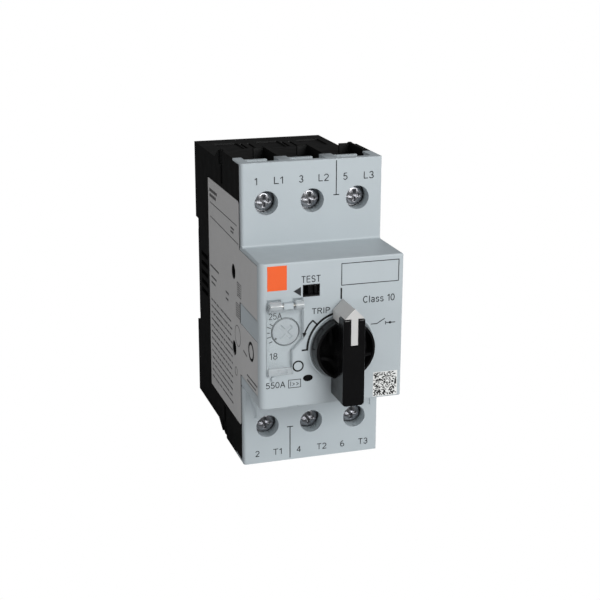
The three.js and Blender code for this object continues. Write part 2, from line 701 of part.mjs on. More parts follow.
// ---------------------------------------------------------------- operating mechanism
function mechanismFrame() {
  const { halfX, halfZ, front, back, sheet } = FRAME;
  const [left, right] = [KNOB.x - halfX, KNOB.x + halfX];
  const [bottom, top] = [KNOB.z - halfZ, KNOB.z + halfZ];
  return cut(
    join(
      box(left, right, front, front + sheet, bottom, top),
      box(left, left + sheet, front, back, bottom, top),
      box(right - sheet, right, front, back, bottom, top),
    ),
    rodY(3.7, front - 1, front + sheet + 1, KNOB.x, KNOB.z, 20),
    rodX(2.5, left - 1, right + 1, -60, KNOB.z + 4, 12),
  );
}

function driveShaft() {
  const { x, z } = KNOB;
  const { half, front, disc, discFront, discBack, pin, pinBack, throwZ } = SHAFT;
  return join(
    box(x - half, x + half, front, discFront + 0.1, z - half, z + half),
    rodY(disc, discFront, discBack, x, z, 24),
    rodY(pin, discBack - 0.1, pinBack, x, z + throwZ, 10),
  );
}

// Dished hub, grip bar with a square front and a cut for the padlock slide.
function knob() {
  const { x, z, radius, neck, back } = KNOB;
  const hub = turned(
    [
      [0, -80.9],
      [7.6, -80.9],
      [8.4, -83.4],
      [9.1, -83.4],
      [radius, -81.2],
      [radius, back],
      [neck, back],
      [neck, -75.4],
      [0, -75.4],
    ],
    x,
    z,
    32,
  );
  const { half, top, bottom, back: gripBack } = GRIP;
  const bar = roundRect(x - half, x + half, z + bottom, z + top, [1, 1, 0.4, 0.4]);
  const rib = { reach: 8.4, front: -82.6, back: -80.8, from: -2.9, to: -2.1 };
  const ribs = [
    [x - rib.reach, x - half + 0.1],
    [x + half - 0.1, x + rib.reach],
  ].map(([x0, x1]) => box(x0, x1, rib.front, rib.back, z + rib.from, z + rib.to));
  const slot = SLIDE.half + 0.25;
  const socket = SHAFT.half + GAP;
  return cut(
    join(hub, prismY(bar, GRIP_FRONT, gripBack), ...ribs),
    box(x - half - 1, x + half + 1, SLIDE.stepBack - GAP, back + 1, z + SLIDE.step, z + 16),
    box(x - slot, x + slot, GRIP_FRONT - 1, -82, z + SLIDE.foot - GAP, z + 16),
    box(x - socket, x + socket, -78, -75, z - socket, z + socket),
  );
}

// Arrow-headed slide that is pulled out of the grip to take a padlock.
function padlockSlide() {
  const { half, apex, foot, step, stepBack } = SLIDE;
  const { x, z } = KNOB;
  const wing = 3;
  const arrow = (base) =>
    outline([
      [x - wing, z + base],
      [x + wing, z + base],
      [x + wing, z + apex - wing],
      [x, z + apex],
      [x - wing, z + apex - wing],
    ]);
  return cut(
    join(
      prismY(arrow(GRIP.top + GAP - 0.05), GRIP_FRONT, stepBack),
      prismY(arrow(step + GAP), stepBack - 0.1, GRIP.back),
      box(x - half, x + half, GRIP_FRONT, -82.3, z + foot, z + GRIP.top + 1),
    ),
    rodX(1.6, x - 2, x + 2, -86.4, z + 7.2, 12),
  );
}

function currentDial() {
  const { x, z, radius } = DIAL;
  const body = turned(
    [
      [0, -78.1],
      [radius, -78.1],
      [radius, -75.9],
      [5.2, -75.9],
      [5.2, -75],
      [2.2, -75],
      [2.2, -66],
      [0, -66],
    ],
    x,
    z,
    28,
  );
  const cam = rodY(2.8, -66.1, -62, x + 0.8, z, 14);
  const [long, short, floor] = [2.7, 0.5, -77.1];
  return cut(
    join(body, cam),
    box(x - long, x + long, -79, floor, z - short, z + short),
    box(x - short, x + short, -79, floor, z - long, z + long),
  );
}

// ---------------------------------------------------------------- clear flap over the dial
const FLAP_BARRELS = [
  [-20, -16.2],
  [-12.1, -9.4],
];

const FLAP_GRIP = { left: -20.2, right: -12.9, proud: 1.3, bottom: -11.4, top: -9.3 };

// The flap's outline, grown by a margin: a corner is cut off to clear the handle.
function flapOutline(margin) {
  const m = margin;
  const slope = m * Math.tan(Math.PI / 8);
  return [
    [-20.2 - m, -11.4 - m],
    [-12.7 + m, -11.4 - m],
    [-12.7 + m, -4.2 - slope],
    [-9.4 + m, -0.9 - slope],
    [-9.4 + m, 8.6 + m],
    [-20.2 - m, 8.6 + m],
  ];
}

function dialCover() {
  const { hingeY, hingeZ, barrel, bore } = FLAP;
  const front = BLOCK_FRONT;
  const back = front + 0.8;
  const pieces = [prismY(outline(flapOutline(0)), front, back)];
  for (const [x0, x1] of FLAP_BARRELS) {
    pieces.push(rodX(barrel, x0, x1, hingeY, hingeZ, 16));
    pieces.push(box(x0, x1, hingeY - 0.4, back, 8.2, hingeZ));
  }
  const { left, right, proud, bottom, top } = FLAP_GRIP;
  pieces.push(box(left, right, front - proud, back, bottom, top));
  const grooves = [-10.7, -10].map((z) =>
    box(-17.5, -14.5, front - 2, front - 0.9, z - 0.2, z + 0.2),
  );
  return cut(join(...pieces), rodX(bore, -21, -8, hingeY, hingeZ, 12), ...grooves);
}

function testSlider() {
  const { bottom, top } = TEST;
  const plateFront = COVER.openings + 0.1;
  const nub = { left: -7.5, right: -4.5, front: -78.6 };
  const groove = { left: -6.5, right: -5.5, back: -77.6 };
  return cut(
    join(
      box(-10.4, -2.6, plateFront, plateFront + 1.5, bottom - 1, top + 1),
      box(nub.left, nub.right, nub.front, plateFront + 0.1, bottom + GAP, top - GAP),
    ),
    box(groove.left, groove.right, nub.front - 1, groove.back, bottom, top),
  );
}

// ---------------------------------------------------------------- assembly
add("rear_housing", rearHousing(), BLACK);
add("front_cover", frontCover(), GREY);
add("line_terminal_cover", terminalCover(1), GREY);
add("load_terminal_cover", terminalCover(-1), GREY);
PARTITIONS.forEach((x, i) => add("phase_barrier_" + (i + 1), phaseBarrier(x), BLACK));
add("line_chamber", terminalChamber(1), BLACK);
add("load_chamber", terminalChamber(-1), BLACK);
add("side_label_left", leftLabel(), LABEL_GREY);
add("side_label_right", rightLabel(), LABEL_GREY);
add("rail_clip", railClip(), BLACK);
const { bottom: springFoot, top: springHead, radius: springRadius, turns: springTurns } = SPRING;
const clipSpring = new Helix(
  0,
  SPRING.y,
  springFoot + GAP,
  springHead - GAP,
  springRadius,
  springTurns,
);
add("rail_clip_spring", coilSpring(clipSpring, SPRING.wire), STEEL);

ENDS.forEach((end, row) => {
  POLES.forEach((x, i) => {
    const number = 2 * i + 1 + row; // 1, 3, 5 above and 2, 4, 6 below
    const place = new THREE.Group();
    place.position.set(x, 0, end * SCREW.z);
    root.add(place);
    add("terminal_screw_" + number, terminalScrew(), STEEL, place);
    add("terminal_clamp_" + number, terminalClamp(), STEEL, place);
  });
});

POLES.forEach((x, i) => {
  const pole = new THREE.Group();
  pole.position.x = x;
  root.add(pole);
  const name = (part) => part + "_" + (i + 1);
  add(name("line_busbar"), lineBusbar(), COPPER, pole);
  add(name("load_busbar"), loadBusbar(), COPPER, pole);
  add(name("bimetal"), bimetal(), BRASS, pole);
  add(name("magnet_coil"), magnetCoil(), COPPER, pole);
  add(name("arc_chute_line"), arcChute(15.2), STEEL, pole);
  add(name("arc_chute_load"), arcChute(-17.9), STEEL, pole);
  add(name("moving_contact"), movingContact(), COPPER, pole);
});

add("contact_carrier", contactCarrier(), MOULDED);
add("trip_bar", tripBar(), MOULDED);
add("mechanism_frame", mechanismFrame(), STEEL);
const TOGGLE = { x: KNOB.x - 6, y: -66, half: 7, radius: 1.3, wire: 0.3, turns: 5 };
const toggle = new Helix(
  TOGGLE.x,
  TOGGLE.y,
  KNOB.z - TOGGLE.half,
  KNOB.z + TOGGLE.half,
  TOGGLE.radius,
  TOGGLE.turns,
);
add("toggle_spring", coilSpring(toggle, TOGGLE.wire), STEEL);
add("drive_shaft", driveShaft(), STEEL);
add("knob", knob(), HANDLE_BLACK);
add("padlock_slide", padlockSlide(), ARROW_GREY);
add("current_dial", currentDial(), GREY);
add("dial_cover", dialCover(), CLEAR);
add("dial_cover_pin", rodX(FLAP.pin, -19.7, -9.7, FLAP.hingeY, FLAP.hingeZ, 12), STEEL);
add("test_slider", testSlider(), HANDLE_BLACK);

export default root;
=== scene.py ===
import json
import math
import random

import bmesh
import bpy
from mathutils import Matrix, Vector

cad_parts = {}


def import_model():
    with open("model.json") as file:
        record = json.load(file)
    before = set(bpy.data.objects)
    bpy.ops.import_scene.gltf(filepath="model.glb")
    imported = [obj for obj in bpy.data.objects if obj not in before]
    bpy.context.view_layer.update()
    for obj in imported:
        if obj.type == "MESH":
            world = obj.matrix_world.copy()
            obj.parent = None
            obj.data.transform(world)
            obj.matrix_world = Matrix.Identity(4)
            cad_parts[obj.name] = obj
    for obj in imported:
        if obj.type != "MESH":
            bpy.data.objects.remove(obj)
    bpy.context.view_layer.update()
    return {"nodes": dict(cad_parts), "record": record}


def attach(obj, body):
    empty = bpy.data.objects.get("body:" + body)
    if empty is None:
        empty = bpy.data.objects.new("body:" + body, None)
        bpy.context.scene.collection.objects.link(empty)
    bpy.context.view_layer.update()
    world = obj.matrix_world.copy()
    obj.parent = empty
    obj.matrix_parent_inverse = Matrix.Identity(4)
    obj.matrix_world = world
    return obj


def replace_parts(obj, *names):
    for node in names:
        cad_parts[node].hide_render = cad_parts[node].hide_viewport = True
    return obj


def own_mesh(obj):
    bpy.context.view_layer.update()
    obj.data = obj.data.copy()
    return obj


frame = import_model()
NODES = frame["nodes"]
SCENE = bpy.context.scene
SCENE.view_settings.view_transform = "Standard"

# ---------------------------------------------------------------- sizes, in millimetres
MM = 0.001
HALF_W = 22.5
HALF_H = 48.9
PLATE_FRONT = -59.3
PLATE_BACK = -57.0
BLOCK_FRONT = -79.2
BLOCK_TOP = 22.95
BLOCK_BOTTOM = -22.55
POLES = (-14.65, 0.0, 14.65)
KNOB = (3.1, -4.6)
DIAL = (-14.3, 1.3)
SCREW_Z = 36.4
FLAP_OUTLINE = [(-20.2, -11.4), (-12.7, -11.4), (-12.7, -4.2), (-9.4, -0.9), (-9.4, 8.6), (-20.2, 8.6)]
FLAP_BARRELS = ((-20.0, -16.2), (-12.1, -9.4))
FLAP_HINGE = (-80.4, 10.1)  # Y and Z of its axis
GRIP_FRONT = -90.4
DIAL_FACE = -78.1
FLAP_FRONT = -79.2
FLAP_BACK = -78.4
BED_PRINT = -77.9  # just above the floor of the bed under the flap
LABEL_FACE = -22.46  # X of the left film's face, set in from the part's side
INK = 0.03  # how far print stands proud
ARC_STEPS = 10


# ---------------------------------------------------------------- mesh helpers
def circle(radius, u, v, steps=48):
    """Points of a circle, anticlockwise."""
    turn = [2 * math.pi * i / steps for i in range(steps)]
    return [(u + radius * math.cos(a), v + radius * math.sin(a)) for a in turn]


def arc(radius, u, v, start, end, steps=ARC_STEPS):
    """Points of an arc between two angles in degrees."""
    turn = [math.radians(start + (end - start) * i / steps) for i in range(steps + 1)]
    return [(u + radius * math.cos(a), v + radius * math.sin(a)) for a in turn]


def rounded(u0, u1, v0, v1, radii, steps=ARC_STEPS):
    """A rectangle's outline, anticlockwise, with the radii of its corners from the lowest left one."""
    corners = ((u0, v0, 1, 1, 180), (u1, v0, -1, 1, 270), (u1, v1, -1, -1, 0), (u0, v1, 1, -1, 90))
    points = []
    for (u, v, su, sv, turn), r in zip(corners, radii):
        if r > 0:
            points += arc(r, u + su * r, v + sv * r, turn, turn + 90, steps)
        else:
            points.append((u, v))
    return points


def loft(rings):
    """A closed bmesh skin over rings of 3-D points that all have the same count."""
    bm = bmesh.new()
    made = [[bm.verts.new(p) for p in ring] for ring in rings]
    for low, high in zip(made, made[1:]):
        for i in range(len(low)):
            j = (i + 1) % len(low)
            bm.faces.new((low[i], low[j], high[j], high[i]))
    bm.faces.new(list(reversed(made[0])))
    bm.faces.new(made[-1])
    bmesh.ops.remove_doubles(bm, verts=bm.verts, dist=1e-5)
    bmesh.ops.recalc_face_normals(bm, faces=bm.faces)
    return bm


def place(axis, u, v, w):
    """A point of an outline: u and v in the plane across the axis, w along it."""
    return {"X": (w, u, v), "Y": (u, w, v), "Z": (u, v, w)}[axis]


def prism(outline, axis, w0, w1):
    """An outline drawn out along an axis."""
    return loft([[place(axis, u, v, w) for u, v in outline] for w in (w0, w1)])


def box(x0, x1, y0, y1, z0, z1):
    """A box from its limits along X, Y and Z."""
    return prism([(x0, z0), (x1, z0), (x1, z1), (x0, z1)], "Y", y0, y1)


def lathe(profile, x, z, sides=64, axis="Y"):
    """A turned body from [radius, distance along the axis] pairs."""
    rings = []
    for r, w in profile:
        rings.append([place(axis, u, v, w) for u, v in circle(max(r, 1e-6), x, z, sides)])
    return loft(rings)


def tube(points, radius, sides=10):
    """A round wire along a path, with a frame carried from point to point."""
    path = [Vector(p) for p in points]
    normal = (path[1] - path[0]).orthogonal().normalized()
    rings = []
    for i, p in enumerate(path):
        ahead = path[min(i + 1, len(path) - 1)] - path[max(i - 1, 0)]
        ahead.normalize()
        normal = (normal - ahead * normal.dot(ahead)).normalized()
        side = ahead.cross(normal)
        turn = [2 * math.pi * k / sides for k in range(sides)]
        rings.append([p + (normal * math.cos(a) + side * math.sin(a)) * radius for a in turn])
    return loft(rings)


def join(*parts):
    """Several bmeshes as one, without merging them."""
    whole = parts[0]
    for part in parts[1:]:
        mesh = bpy.data.meshes.new("part")
        part.to_mesh(mesh)
        part.free()
        whole.from_mesh(mesh)
        bpy.data.meshes.remove(mesh)
    return whole


def loose(bm, name="tool"):
    """A bmesh in millimetres as a scene object in millimetres."""
    mesh = bpy.data.meshes.new(name)
    bm.to_mesh(mesh)
    bm.free()
    thing = bpy.data.objects.new(name, mesh)
    SCENE.collection.objects.link(thing)
    return thing


def settle(thing):
    """Applies the modifiers of an object."""
    deps = bpy.context.evaluated_depsgraph_get()
    mesh = bpy.data.meshes.new_from_object(thing.evaluated_get(deps))
    old = thing.data
    thing.modifiers.clear()
    thing.data = mesh
    bpy.data.meshes.remove(old)


def discard(thing):
    """Removes an object and its mesh."""
    mesh = thing.data
    bpy.data.objects.remove(thing)
    bpy.data.meshes.remove(mesh)


def combined(base, operation, *tools, flatten=True):
    """Booleans tools, as bmeshes, with base, also a bmesh, and returns a bmesh."""
    for tool in tools:
        whole = loose(base)
        other = loose(tool)
        step = whole.modifiers.new("step", "BOOLEAN")
        step.operation = operation
        step.solver = "EXACT"
        step.object = other
        settle(whole)
        discard(other)
        base = bmesh.new()
        base.from_mesh(whole.data)
        discard(whole)
        tidy(base, False)
    return tidy(base, flatten)


def tidy(bm, flatten=True):
    """Merges doubled points and, if asked, the faces that lie in one plane."""
    bmesh.ops.remove_doubles(bm, verts=bm.verts, dist=2e-4)
    bmesh.ops.dissolve_degenerate(bm, edges=bm.edges, dist=1e-4)
    if flatten:
        bmesh.ops.dissolve_limit(
            bm, angle_limit=math.radians(0.6), verts=bm.verts, edges=bm.edges, delimit={"NORMAL"}
        )
    return bm


def cad(node, flatten=True):
    """A clean copy of a CAD node in millimetres."""
    bm = bmesh.new()
    bm.from_mesh(NODES[node].data)
    bmesh.ops.scale(bm, vec=(1 / MM,) * 3, verts=bm.verts)
    return tidy(bm, flatten)


def triangulated(mesh):
    """Splits the faces with more than four corners while the mesh is still in millimetres."""
    bm = bmesh.new()
    bm.from_mesh(mesh)
    bmesh.ops.triangulate(bm, faces=[f for f in bm.faces if len(f.verts) > 4])
    bm.to_mesh(mesh)
    bm.free()


def piece(name, bm, material, body, bevel=0.0, segments=2, smooth=32, at=(0, 0, 0)):
    """Turns a bmesh in millimetres into a finished piece that rides on a body."""
    thing = loose(bm, name)
    thing.name = name
    if bevel:
        step = thing.modifiers.new("edge", "BEVEL")
        step.width = bevel
        step.segments = segments
        step.limit_method = "ANGLE"
        step.angle_limit = math.radians(38)
        step.use_clamp_overlap = True
        step.miter_outer = "MITER_SHARP"
        settle(thing)
    triangulated(thing.data)
    thing.data.transform(Matrix.Scale(MM, 4))
    thing.data.materials.clear()
    thing.data.materials.append(material)
    thing.data.shade_smooth()
    thing.data.set_sharp_from_angle(angle=math.radians(smooth))
    even = thing.modifiers.new("even", "WEIGHTED_NORMAL")
    even.keep_sharp = True
    settle(thing)
    thing.location = Vector(at) * MM
    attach(thing, body)
    return thing


# ---------------------------------------------------------------- materials
def linear(rgb):
    """An 8-bit sRGB colour as the shader's linear one."""
    def one(c):
        c /= 255
        return c / 12.92 if c <= 0.04045 else ((c + 0.055) / 1.055) ** 2.4

    return (*[one(c) for c in rgb], 1.0)


def blank(name):
    """A new material with its node tree and shader."""
    material = bpy.data.materials.new(name)
    material.use_nodes = True
    tree = material.node_tree
    return material, tree, tree.nodes["Principled BSDF"]


def noise(tree, scale, detail=3.0, roughness=0.5):
    """A noise fixed to the object, as a factor."""
    where = tree.nodes.get("Texture Coordinate") or tree.nodes.new("ShaderNodeTexCoord")
    made = tree.nodes.new("ShaderNodeTexNoise")
    made.inputs["Scale"].default_value = scale
    made.inputs["Detail"].default_value = detail
    made.inputs["Roughness"].default_value = roughness
    tree.links.new(where.outputs["Object"], made.inputs["Vector"])
    return made.outputs["Fac"]


def ramp(tree, source, low, high, start=0.3, end=0.7):
    """A factor as a blend of two colours."""
    made = tree.nodes.new("ShaderNodeValToRGB")
    made.color_ramp.elements[0].position = start
    made.color_ramp.elements[0].color = low
    made.color_ramp.elements[1].position = end
    made.color_ramp.elements[1].color = high
    tree.links.new(source, made.inputs["Fac"])
    return made.outputs["Color"]


def spread(tree, source, low, high, start=0.3, end=0.7):
    """A factor spread over a range of values."""
    made = tree.nodes.new("ShaderNodeMapRange")
    made.inputs["From Min"].default_value = start
    made.inputs["From Max"].default_value = end
    made.inputs["To Min"].default_value = low
    made.inputs["To Max"].default_value = high
    tree.links.new(source, made.inputs["Value"])
    return made.outputs["Result"]


def shade(colour, share):
    """A colour made darker or lighter."""
    return (*[c * share for c in colour[:3]], 1.0)


def bumps(tree, shader, source, depth):
    """Raises the surface by a factor."""
    made = tree.nodes.new("ShaderNodeBump")
    made.inputs["Distance"].default_value = depth
    made.inputs["Strength"].default_value = 1.0
    tree.links.new(source, made.inputs["Height"])
    tree.links.new(made.outputs["Normal"], shader.inputs["Normal"])


def moulded(name, rgb, rough, grain, depth, vary, gloss=0.5):
    """Injection-moulded plastic: fine spark-eroded grain, faint flow marks and uneven sheen."""
    material, tree, shader = blank(name)
    base = linear(rgb)
    flow = noise(tree, 55, 5.0, 0.6)
    colour = ramp(tree, flow, shade(base, 1 - vary), shade(base, 1 + vary))
    tree.links.new(colour, shader.inputs["Base Color"])
    tree.links.new(spread(tree, noise(tree, 260, 4.0), *rough), shader.inputs["Roughness"])
    bumps(tree, shader, noise(tree, grain, 2.0, 0.6), depth)
    shader.inputs["Specular IOR Level"].default_value = gloss
    return material


def metal(name, rgb, rough):
    """Plated or bare metal with drawn lines along one way and patchy tarnish."""
    scratches = (900, 900, 120)
    vary = 0.12
    material, tree, shader = blank(name)
    base = linear(rgb)
    cloud = noise(tree, 420, 5.0, 0.65)
    colour = ramp(tree, cloud, shade(base, 1 - vary), shade(base, 1 + vary))
    tree.links.new(colour, shader.inputs["Base Color"])
    where = tree.nodes["Texture Coordinate"]
    stretch = tree.nodes.new("ShaderNodeMapping")
    stretch.inputs["Scale"].default_value = scratches
    tree.links.new(where.outputs["Object"], stretch.inputs["Vector"])
    lines = tree.nodes.new("ShaderNodeTexNoise")
    lines.inputs["Scale"].default_value = 8.0
    lines.inputs["Detail"].default_value = 2.0
    tree.links.new(stretch.outputs["Vector"], lines.inputs["Vector"])
    tree.links.new(spread(tree, lines.outputs["Fac"], *rough), shader.inputs["Roughness"])
    bumps(tree, shader, lines.outputs["Fac"], 4e-6)
    shader.inputs["Metallic"].default_value = 1.0
    return material


def clear(name, rgb, low, high, rough=0.12):
    """Thin clear plastic: see-through, with a slightly cloudy body."""
    material, tree, shader = blank(name)
    base = linear(rgb)
    colour = ramp(tree, noise(tree, 300), base, shade(base, 0.94))
    tree.links.new(colour, shader.inputs["Base Color"])
    tree.links.new(spread(tree, noise(tree, 190, 4.0), low, high), shader.inputs["Alpha"])
    tree.links.new(spread(tree, noise(tree, 800), rough, rough + 0.1), shader.inputs["Roughness"])
    bumps(tree, shader, noise(tree, 600, 1.0), 8e-6)
    return material


MATERIALS = {
    "housing_black": moulded("housing_black", (16, 17, 17), (0.45, 0.6), 4200, 9e-6, 0.15, 0.26),
    "cover_grey": moulded("cover_grey", (176, 185, 189), (0.42, 0.54), 5200, 5e-6, 0.02),
    "label_grey": moulded("label_grey", (182, 182, 181), (0.5, 0.62), 2600, 3e-6, 0.03),
    "handle_black": moulded("handle_black", (11, 11, 12), (0.14, 0.22), 5200, 2e-6, 0.15, 0.5),
    "arrow_white": moulded("arrow_white", (192, 192, 190), (0.38, 0.48), 5200, 5e-6, 0.02),
    "dial_grey": moulded("dial_grey", (172, 180, 184), (0.35, 0.45), 5200, 5e-6, 0.02),
    "clear_plastic": clear("clear_plastic", (214, 222, 224), 0.06, 0.1),
    "spring_steel": metal("spring_steel", (170, 168, 164), (0.2, 0.35)),
    "plated_steel": metal("plated_steel", (178, 179, 183), (0.24, 0.36)),
    "copper": metal("copper", (196, 122, 84), (0.25, 0.42)),
    "bimetal_strip": metal("bimetal_strip", (176, 160, 112), (0.3, 0.45)),
    "splitter_steel": metal("splitter_steel", (120, 122, 126), (0.35, 0.5)),
    "inner_plastic": moulded("inner_plastic", (186, 172, 142), (0.45, 0.6), 4200, 8e-6, 0.06),
}
# Dark print, also used for the painted shade ring at the dial's edge.
DARK_PRINT_AND_SHADE = moulded("dark_print_and_shade", (36, 38, 42), (0.5, 0.6), 9000, 1e-6, 0.12)
PRINT_SIDE = moulded("print_side", (92, 92, 92), (0.5, 0.6), 9000, 1e-6, 0.05)
# Black for print, and also for the painted shade in and round the test slot.
BLACK_PRINT_AND_SHADE = moulded("black_print_and_shade", (12, 12, 13), (0.5, 0.6), 9000, 1e-6, 0.1)
PATCH_ORANGE = moulded("patch_orange", (232, 92, 30), (0.4, 0.5), 5200, 3e-6, 0.03)
CODE_BACK = moulded("code_back", (226, 228, 226), (0.4, 0.5), 5200, 2e-6, 0.02)
CLOUDY = clear("cloudy_plastic", (206, 213, 216), 0.34, 0.5, 0.1)


def paint_nodes():
    """Gives every CAD node the material of its slot in the record."""
    for part in frame["record"]["subparts"]:
        node = NODES[part["node"]]
        material = MATERIALS[part["material_slot"]]
        if not node.material_slots:
            node.data.materials.append(material)
        for slot in node.material_slots:
            slot.material = material


# ---------------------------------------------------------------- camera, light, floor
def camera():
    """The view that the part is matched in."""
    data = bpy.data.cameras.new("camera")
    data.sensor_width = 36
    data.lens = 75.65
    data.clip_start = 0.01
    data.clip_end = 20
    thing = bpy.data.objects.new("camera", data)
    SCENE.collection.objects.link(thing)
    right = Vector((0.95413, -0.29938, 0.00231)).normalized()
    ahead = Vector((0.28698, 0.91236, -0.29196)).normalized()
    stands = Vector((-0.11701, -0.41893, 0.11990))
    up = right.cross(ahead)
    turn = Matrix((right, up, -ahead)).transposed()
    thing.matrix_world = Matrix.Translation(stands) @ turn.to_4x4()
    SCENE.camera = thing


def area_light(name, towards, distance, size, energy):
    """A softbox that looks at the part from one way."""
    data = bpy.data.lights.new(name, "AREA")
    data.shape = "RECTANGLE"
    data.size, data.size_y = size
    data.energy = energy
    thing = bpy.data.objects.new(name, data)
    SCENE.collection.objects.link(thing)
    way = Vector(towards).normalized()
    thing.location = Vector((0, -0.05, 0)) + way * distance
    thing.rotation_mode = "QUATERNION"
    thing.rotation_quaternion = way.to_track_quat("Z", "Y")


def backdrop(tree, split, low, high):
    """A background that brightens upwards."""
    made = tree.nodes.new("ShaderNodeBackground")
    tree.links.new(ramp(tree, split, (*low, 1), (*high, 1), 0.0, 1.0), made.inputs["Color"])
    return made.outputs["Background"]


def world():
    """White behind the part, an even fill for its shading, and a dim room in its reflections."""
    made = bpy.data.worlds.new("studio")
    SCENE.world = made
    made.use_nodes = True
    tree = made.node_tree
    tree.nodes.clear()
    out = tree.nodes.new("ShaderNodeOutputWorld")
    path = tree.nodes.new("ShaderNodeLightPath")
    where = tree.nodes.new("ShaderNodeTexCoord")
    split = tree.nodes.new("ShaderNodeSeparateXYZ")
    tree.links.new(where.outputs["Generated"], split.inputs["Vector"])
    fill = backdrop(tree, split.outputs["Z"], (0.38, 0.38, 0.39), (0.35, 0.35, 0.36))
    room = backdrop(tree, split.outputs["Z"], (0.05, 0.05, 0.05), (0.13, 0.13, 0.13))
    seen = tree.nodes.new("ShaderNodeBackground")
    seen.inputs["Color"].default_value = (1, 1, 1, 1)
    glossy = tree.nodes.new("ShaderNodeMixShader")
    tree.links.new(path.outputs["Is Glossy Ray"], glossy.inputs["Fac"])
    tree.links.new(fill, glossy.inputs[1])
    tree.links.new(room, glossy.inputs[2])
    camera_mix = tree.nodes.new("ShaderNodeMixShader")
    tree.links.new(path.outputs["Is Camera Ray"], camera_mix.inputs["Fac"])
    tree.links.new(glossy.outputs["Shader"], camera_mix.inputs[1])
    tree.links.new(seen.outputs["Background"], camera_mix.inputs[2])
    tree.links.new(camera_mix.outputs["Shader"], out.inputs["Surface"])


def floor_material():
    """White where the camera sees it, pale as it lights the part and dark in reflections."""
    material = bpy.data.materials.new("floor")
    material.use_nodes = True
    tree = material.node_tree
    tree.nodes.clear()
    out = tree.nodes.new("ShaderNodeOutputMaterial")
    path = tree.nodes.new("ShaderNodeLightPath")
    matt = tree.nodes.new("ShaderNodeBsdfDiffuse")
    matt.inputs["Color"].default_value = (0.8, 0.8, 0.8, 1)
    dark = tree.nodes.new("ShaderNodeBsdfDiffuse")
    dark.inputs["Color"].default_value = (0.1, 0.1, 0.1, 1)
    glow = tree.nodes.new("ShaderNodeEmission")
    glow.inputs["Color"].default_value = (1, 1, 1, 1)
    mirrored = tree.nodes.new("ShaderNodeMixShader")
    mix = tree.nodes.new("ShaderNodeMixShader")
    tree.links.new(path.outputs["Is Camera Ray"], mix.inputs["Fac"])
    tree.links.new(path.outputs["Is Glossy Ray"], mirrored.inputs["Fac"])
    tree.links.new(matt.outputs["BSDF"], mirrored.inputs[1])
    tree.links.new(dark.outputs["BSDF"], mirrored.inputs[2])
    tree.links.new(mirrored.outputs["Shader"], mix.inputs[1])
    tree.links.new(glow.outputs["Emission"], mix.inputs[2])
    tree.links.new(mix.outputs["Shader"], out.inputs["Surface"])
    return material


def floor():
    """A plane under the part."""
    bm = bmesh.new()
    side = 2.0
    corners = [(-side, -side), (side, -side), (side, side), (-side, side)]
    bm.faces.new([bm.verts.new((x, y, -HALF_H * MM - 0.0002)) for x, y in corners])
    mesh = bpy.data.meshes.new("floor")
    bm.to_mesh(mesh)
    bm.free()
    thing = bpy.data.objects.new("floor", mesh)
    SCENE.collection.objects.link(thing)
    mesh.materials.append(floor_material())


# ---------------------------------------------------------------- the cover
def rounded_bar(y_front, y_back, z0, z1, corners, edge):
    """A bar along Z with rounded front corners, left then right, and rounded ends."""
    rings = []
    steps = 6
    for end, sign in ((z0, 1), (z1, -1)):
        found = []
        for i in range(steps + 1):
            a = math.radians(90 * i / steps)
            inset = edge * (1 - math.sin(a))
            z = end + sign * edge * (1 - math.cos(a))
            radii = [max(r - inset, 0.05) for r in corners] + [0, 0]
            outline = rounded(-HALF_W + inset, HALF_W - inset, y_front + inset, y_back, radii)
            found.append([(x, y, z) for x, y in outline])
        rings += found if sign > 0 else list(reversed(found))
    return loft(rings)


def concave_strip(z, way):
    """The small hollow fillet where the block's ledge meets a terminal plate; it closes their seam."""
    r = 0.7
    y = PLATE_FRONT
    turn = [math.radians(90 * i / 8) for i in range(9)]
    hollow = [(y - r + r * math.sin(a), z + way * (r - r * math.cos(a))) for a in turn]
    outline = [(y - r, z - way * 0.05), *hollow, (y + 0.05, z + way * r), (y + 0.05, z - way * 0.05)]
    return prism(outline, "X", -HALF_W + 0.12, HALF_W - 0.12)


def frame_band(outer, inner, y0, y1):
    """A thin wall between two outlines with the same count of points, from y0 to y1."""
    bm = bmesh.new()
    loops = [[[bm.verts.new((u, y, v)) for u, v in line] for line in (outer, inner)] for y in (y0, y1)]
    for i in range(len(outer)):
        j = (i + 1) % len(outer)
        (fo, fi), (bo, bi) = loops
        bm.faces.new((fo[i], fo[j], fi[j], fi[i]))
        bm.faces.new((bo[i], bi[i], bi[j], bo[j]))
        bm.faces.new((fo[i], bo[i], bo[j], fo[j]))
        bm.faces.new((fi[i], fi[j], bi[j], bi[i]))
    bmesh.ops.recalc_face_normals(bm, faces=bm.faces)
    return bm


def grown(outline, margin):
    """The flap's outline grown by a margin; its slanted side keeps its slope."""
    m = margin
    slope = m * math.tan(math.pi / 8)
    (x0, z0), (x1, _), (_, z1), (x2, z2), (_, z3), _ = outline
    return [(x0 - m, z0 - m), (x1 + m, z0 - m), (x1 + m, z1 - slope), (x2 + m, z2 - slope),
            (x2 + m, z3 + m), (x0 - m, z3 + m)]


def grey_piece(name, bm, bevel=0.0, smooth=32):
    """A piece of the front in its grey plastic."""
    return piece(name, bm, MATERIALS["cover_grey"], "housing", bevel=bevel, smooth=smooth)


def rounded_block():
    """The CAD block with its corners filled out and then trimmed by a rounded bar."""
    corners = []
    for side in (-1, 1):
        a, b = sorted((side * HALF_W, side * 20.95))
        corners.append(box(a, b, BLOCK_FRONT, -77.4, BLOCK_BOTTOM, BLOCK_TOP))
    block = combined(cad("front_cover", False), "UNION", *corners, flatten=False)
    envelope = rounded_bar(BLOCK_FRONT, -40, BLOCK_BOTTOM, BLOCK_TOP, (1.9, 0.45), 0.5)
    return combined(block, "INTERSECT", envelope, flatten=False)


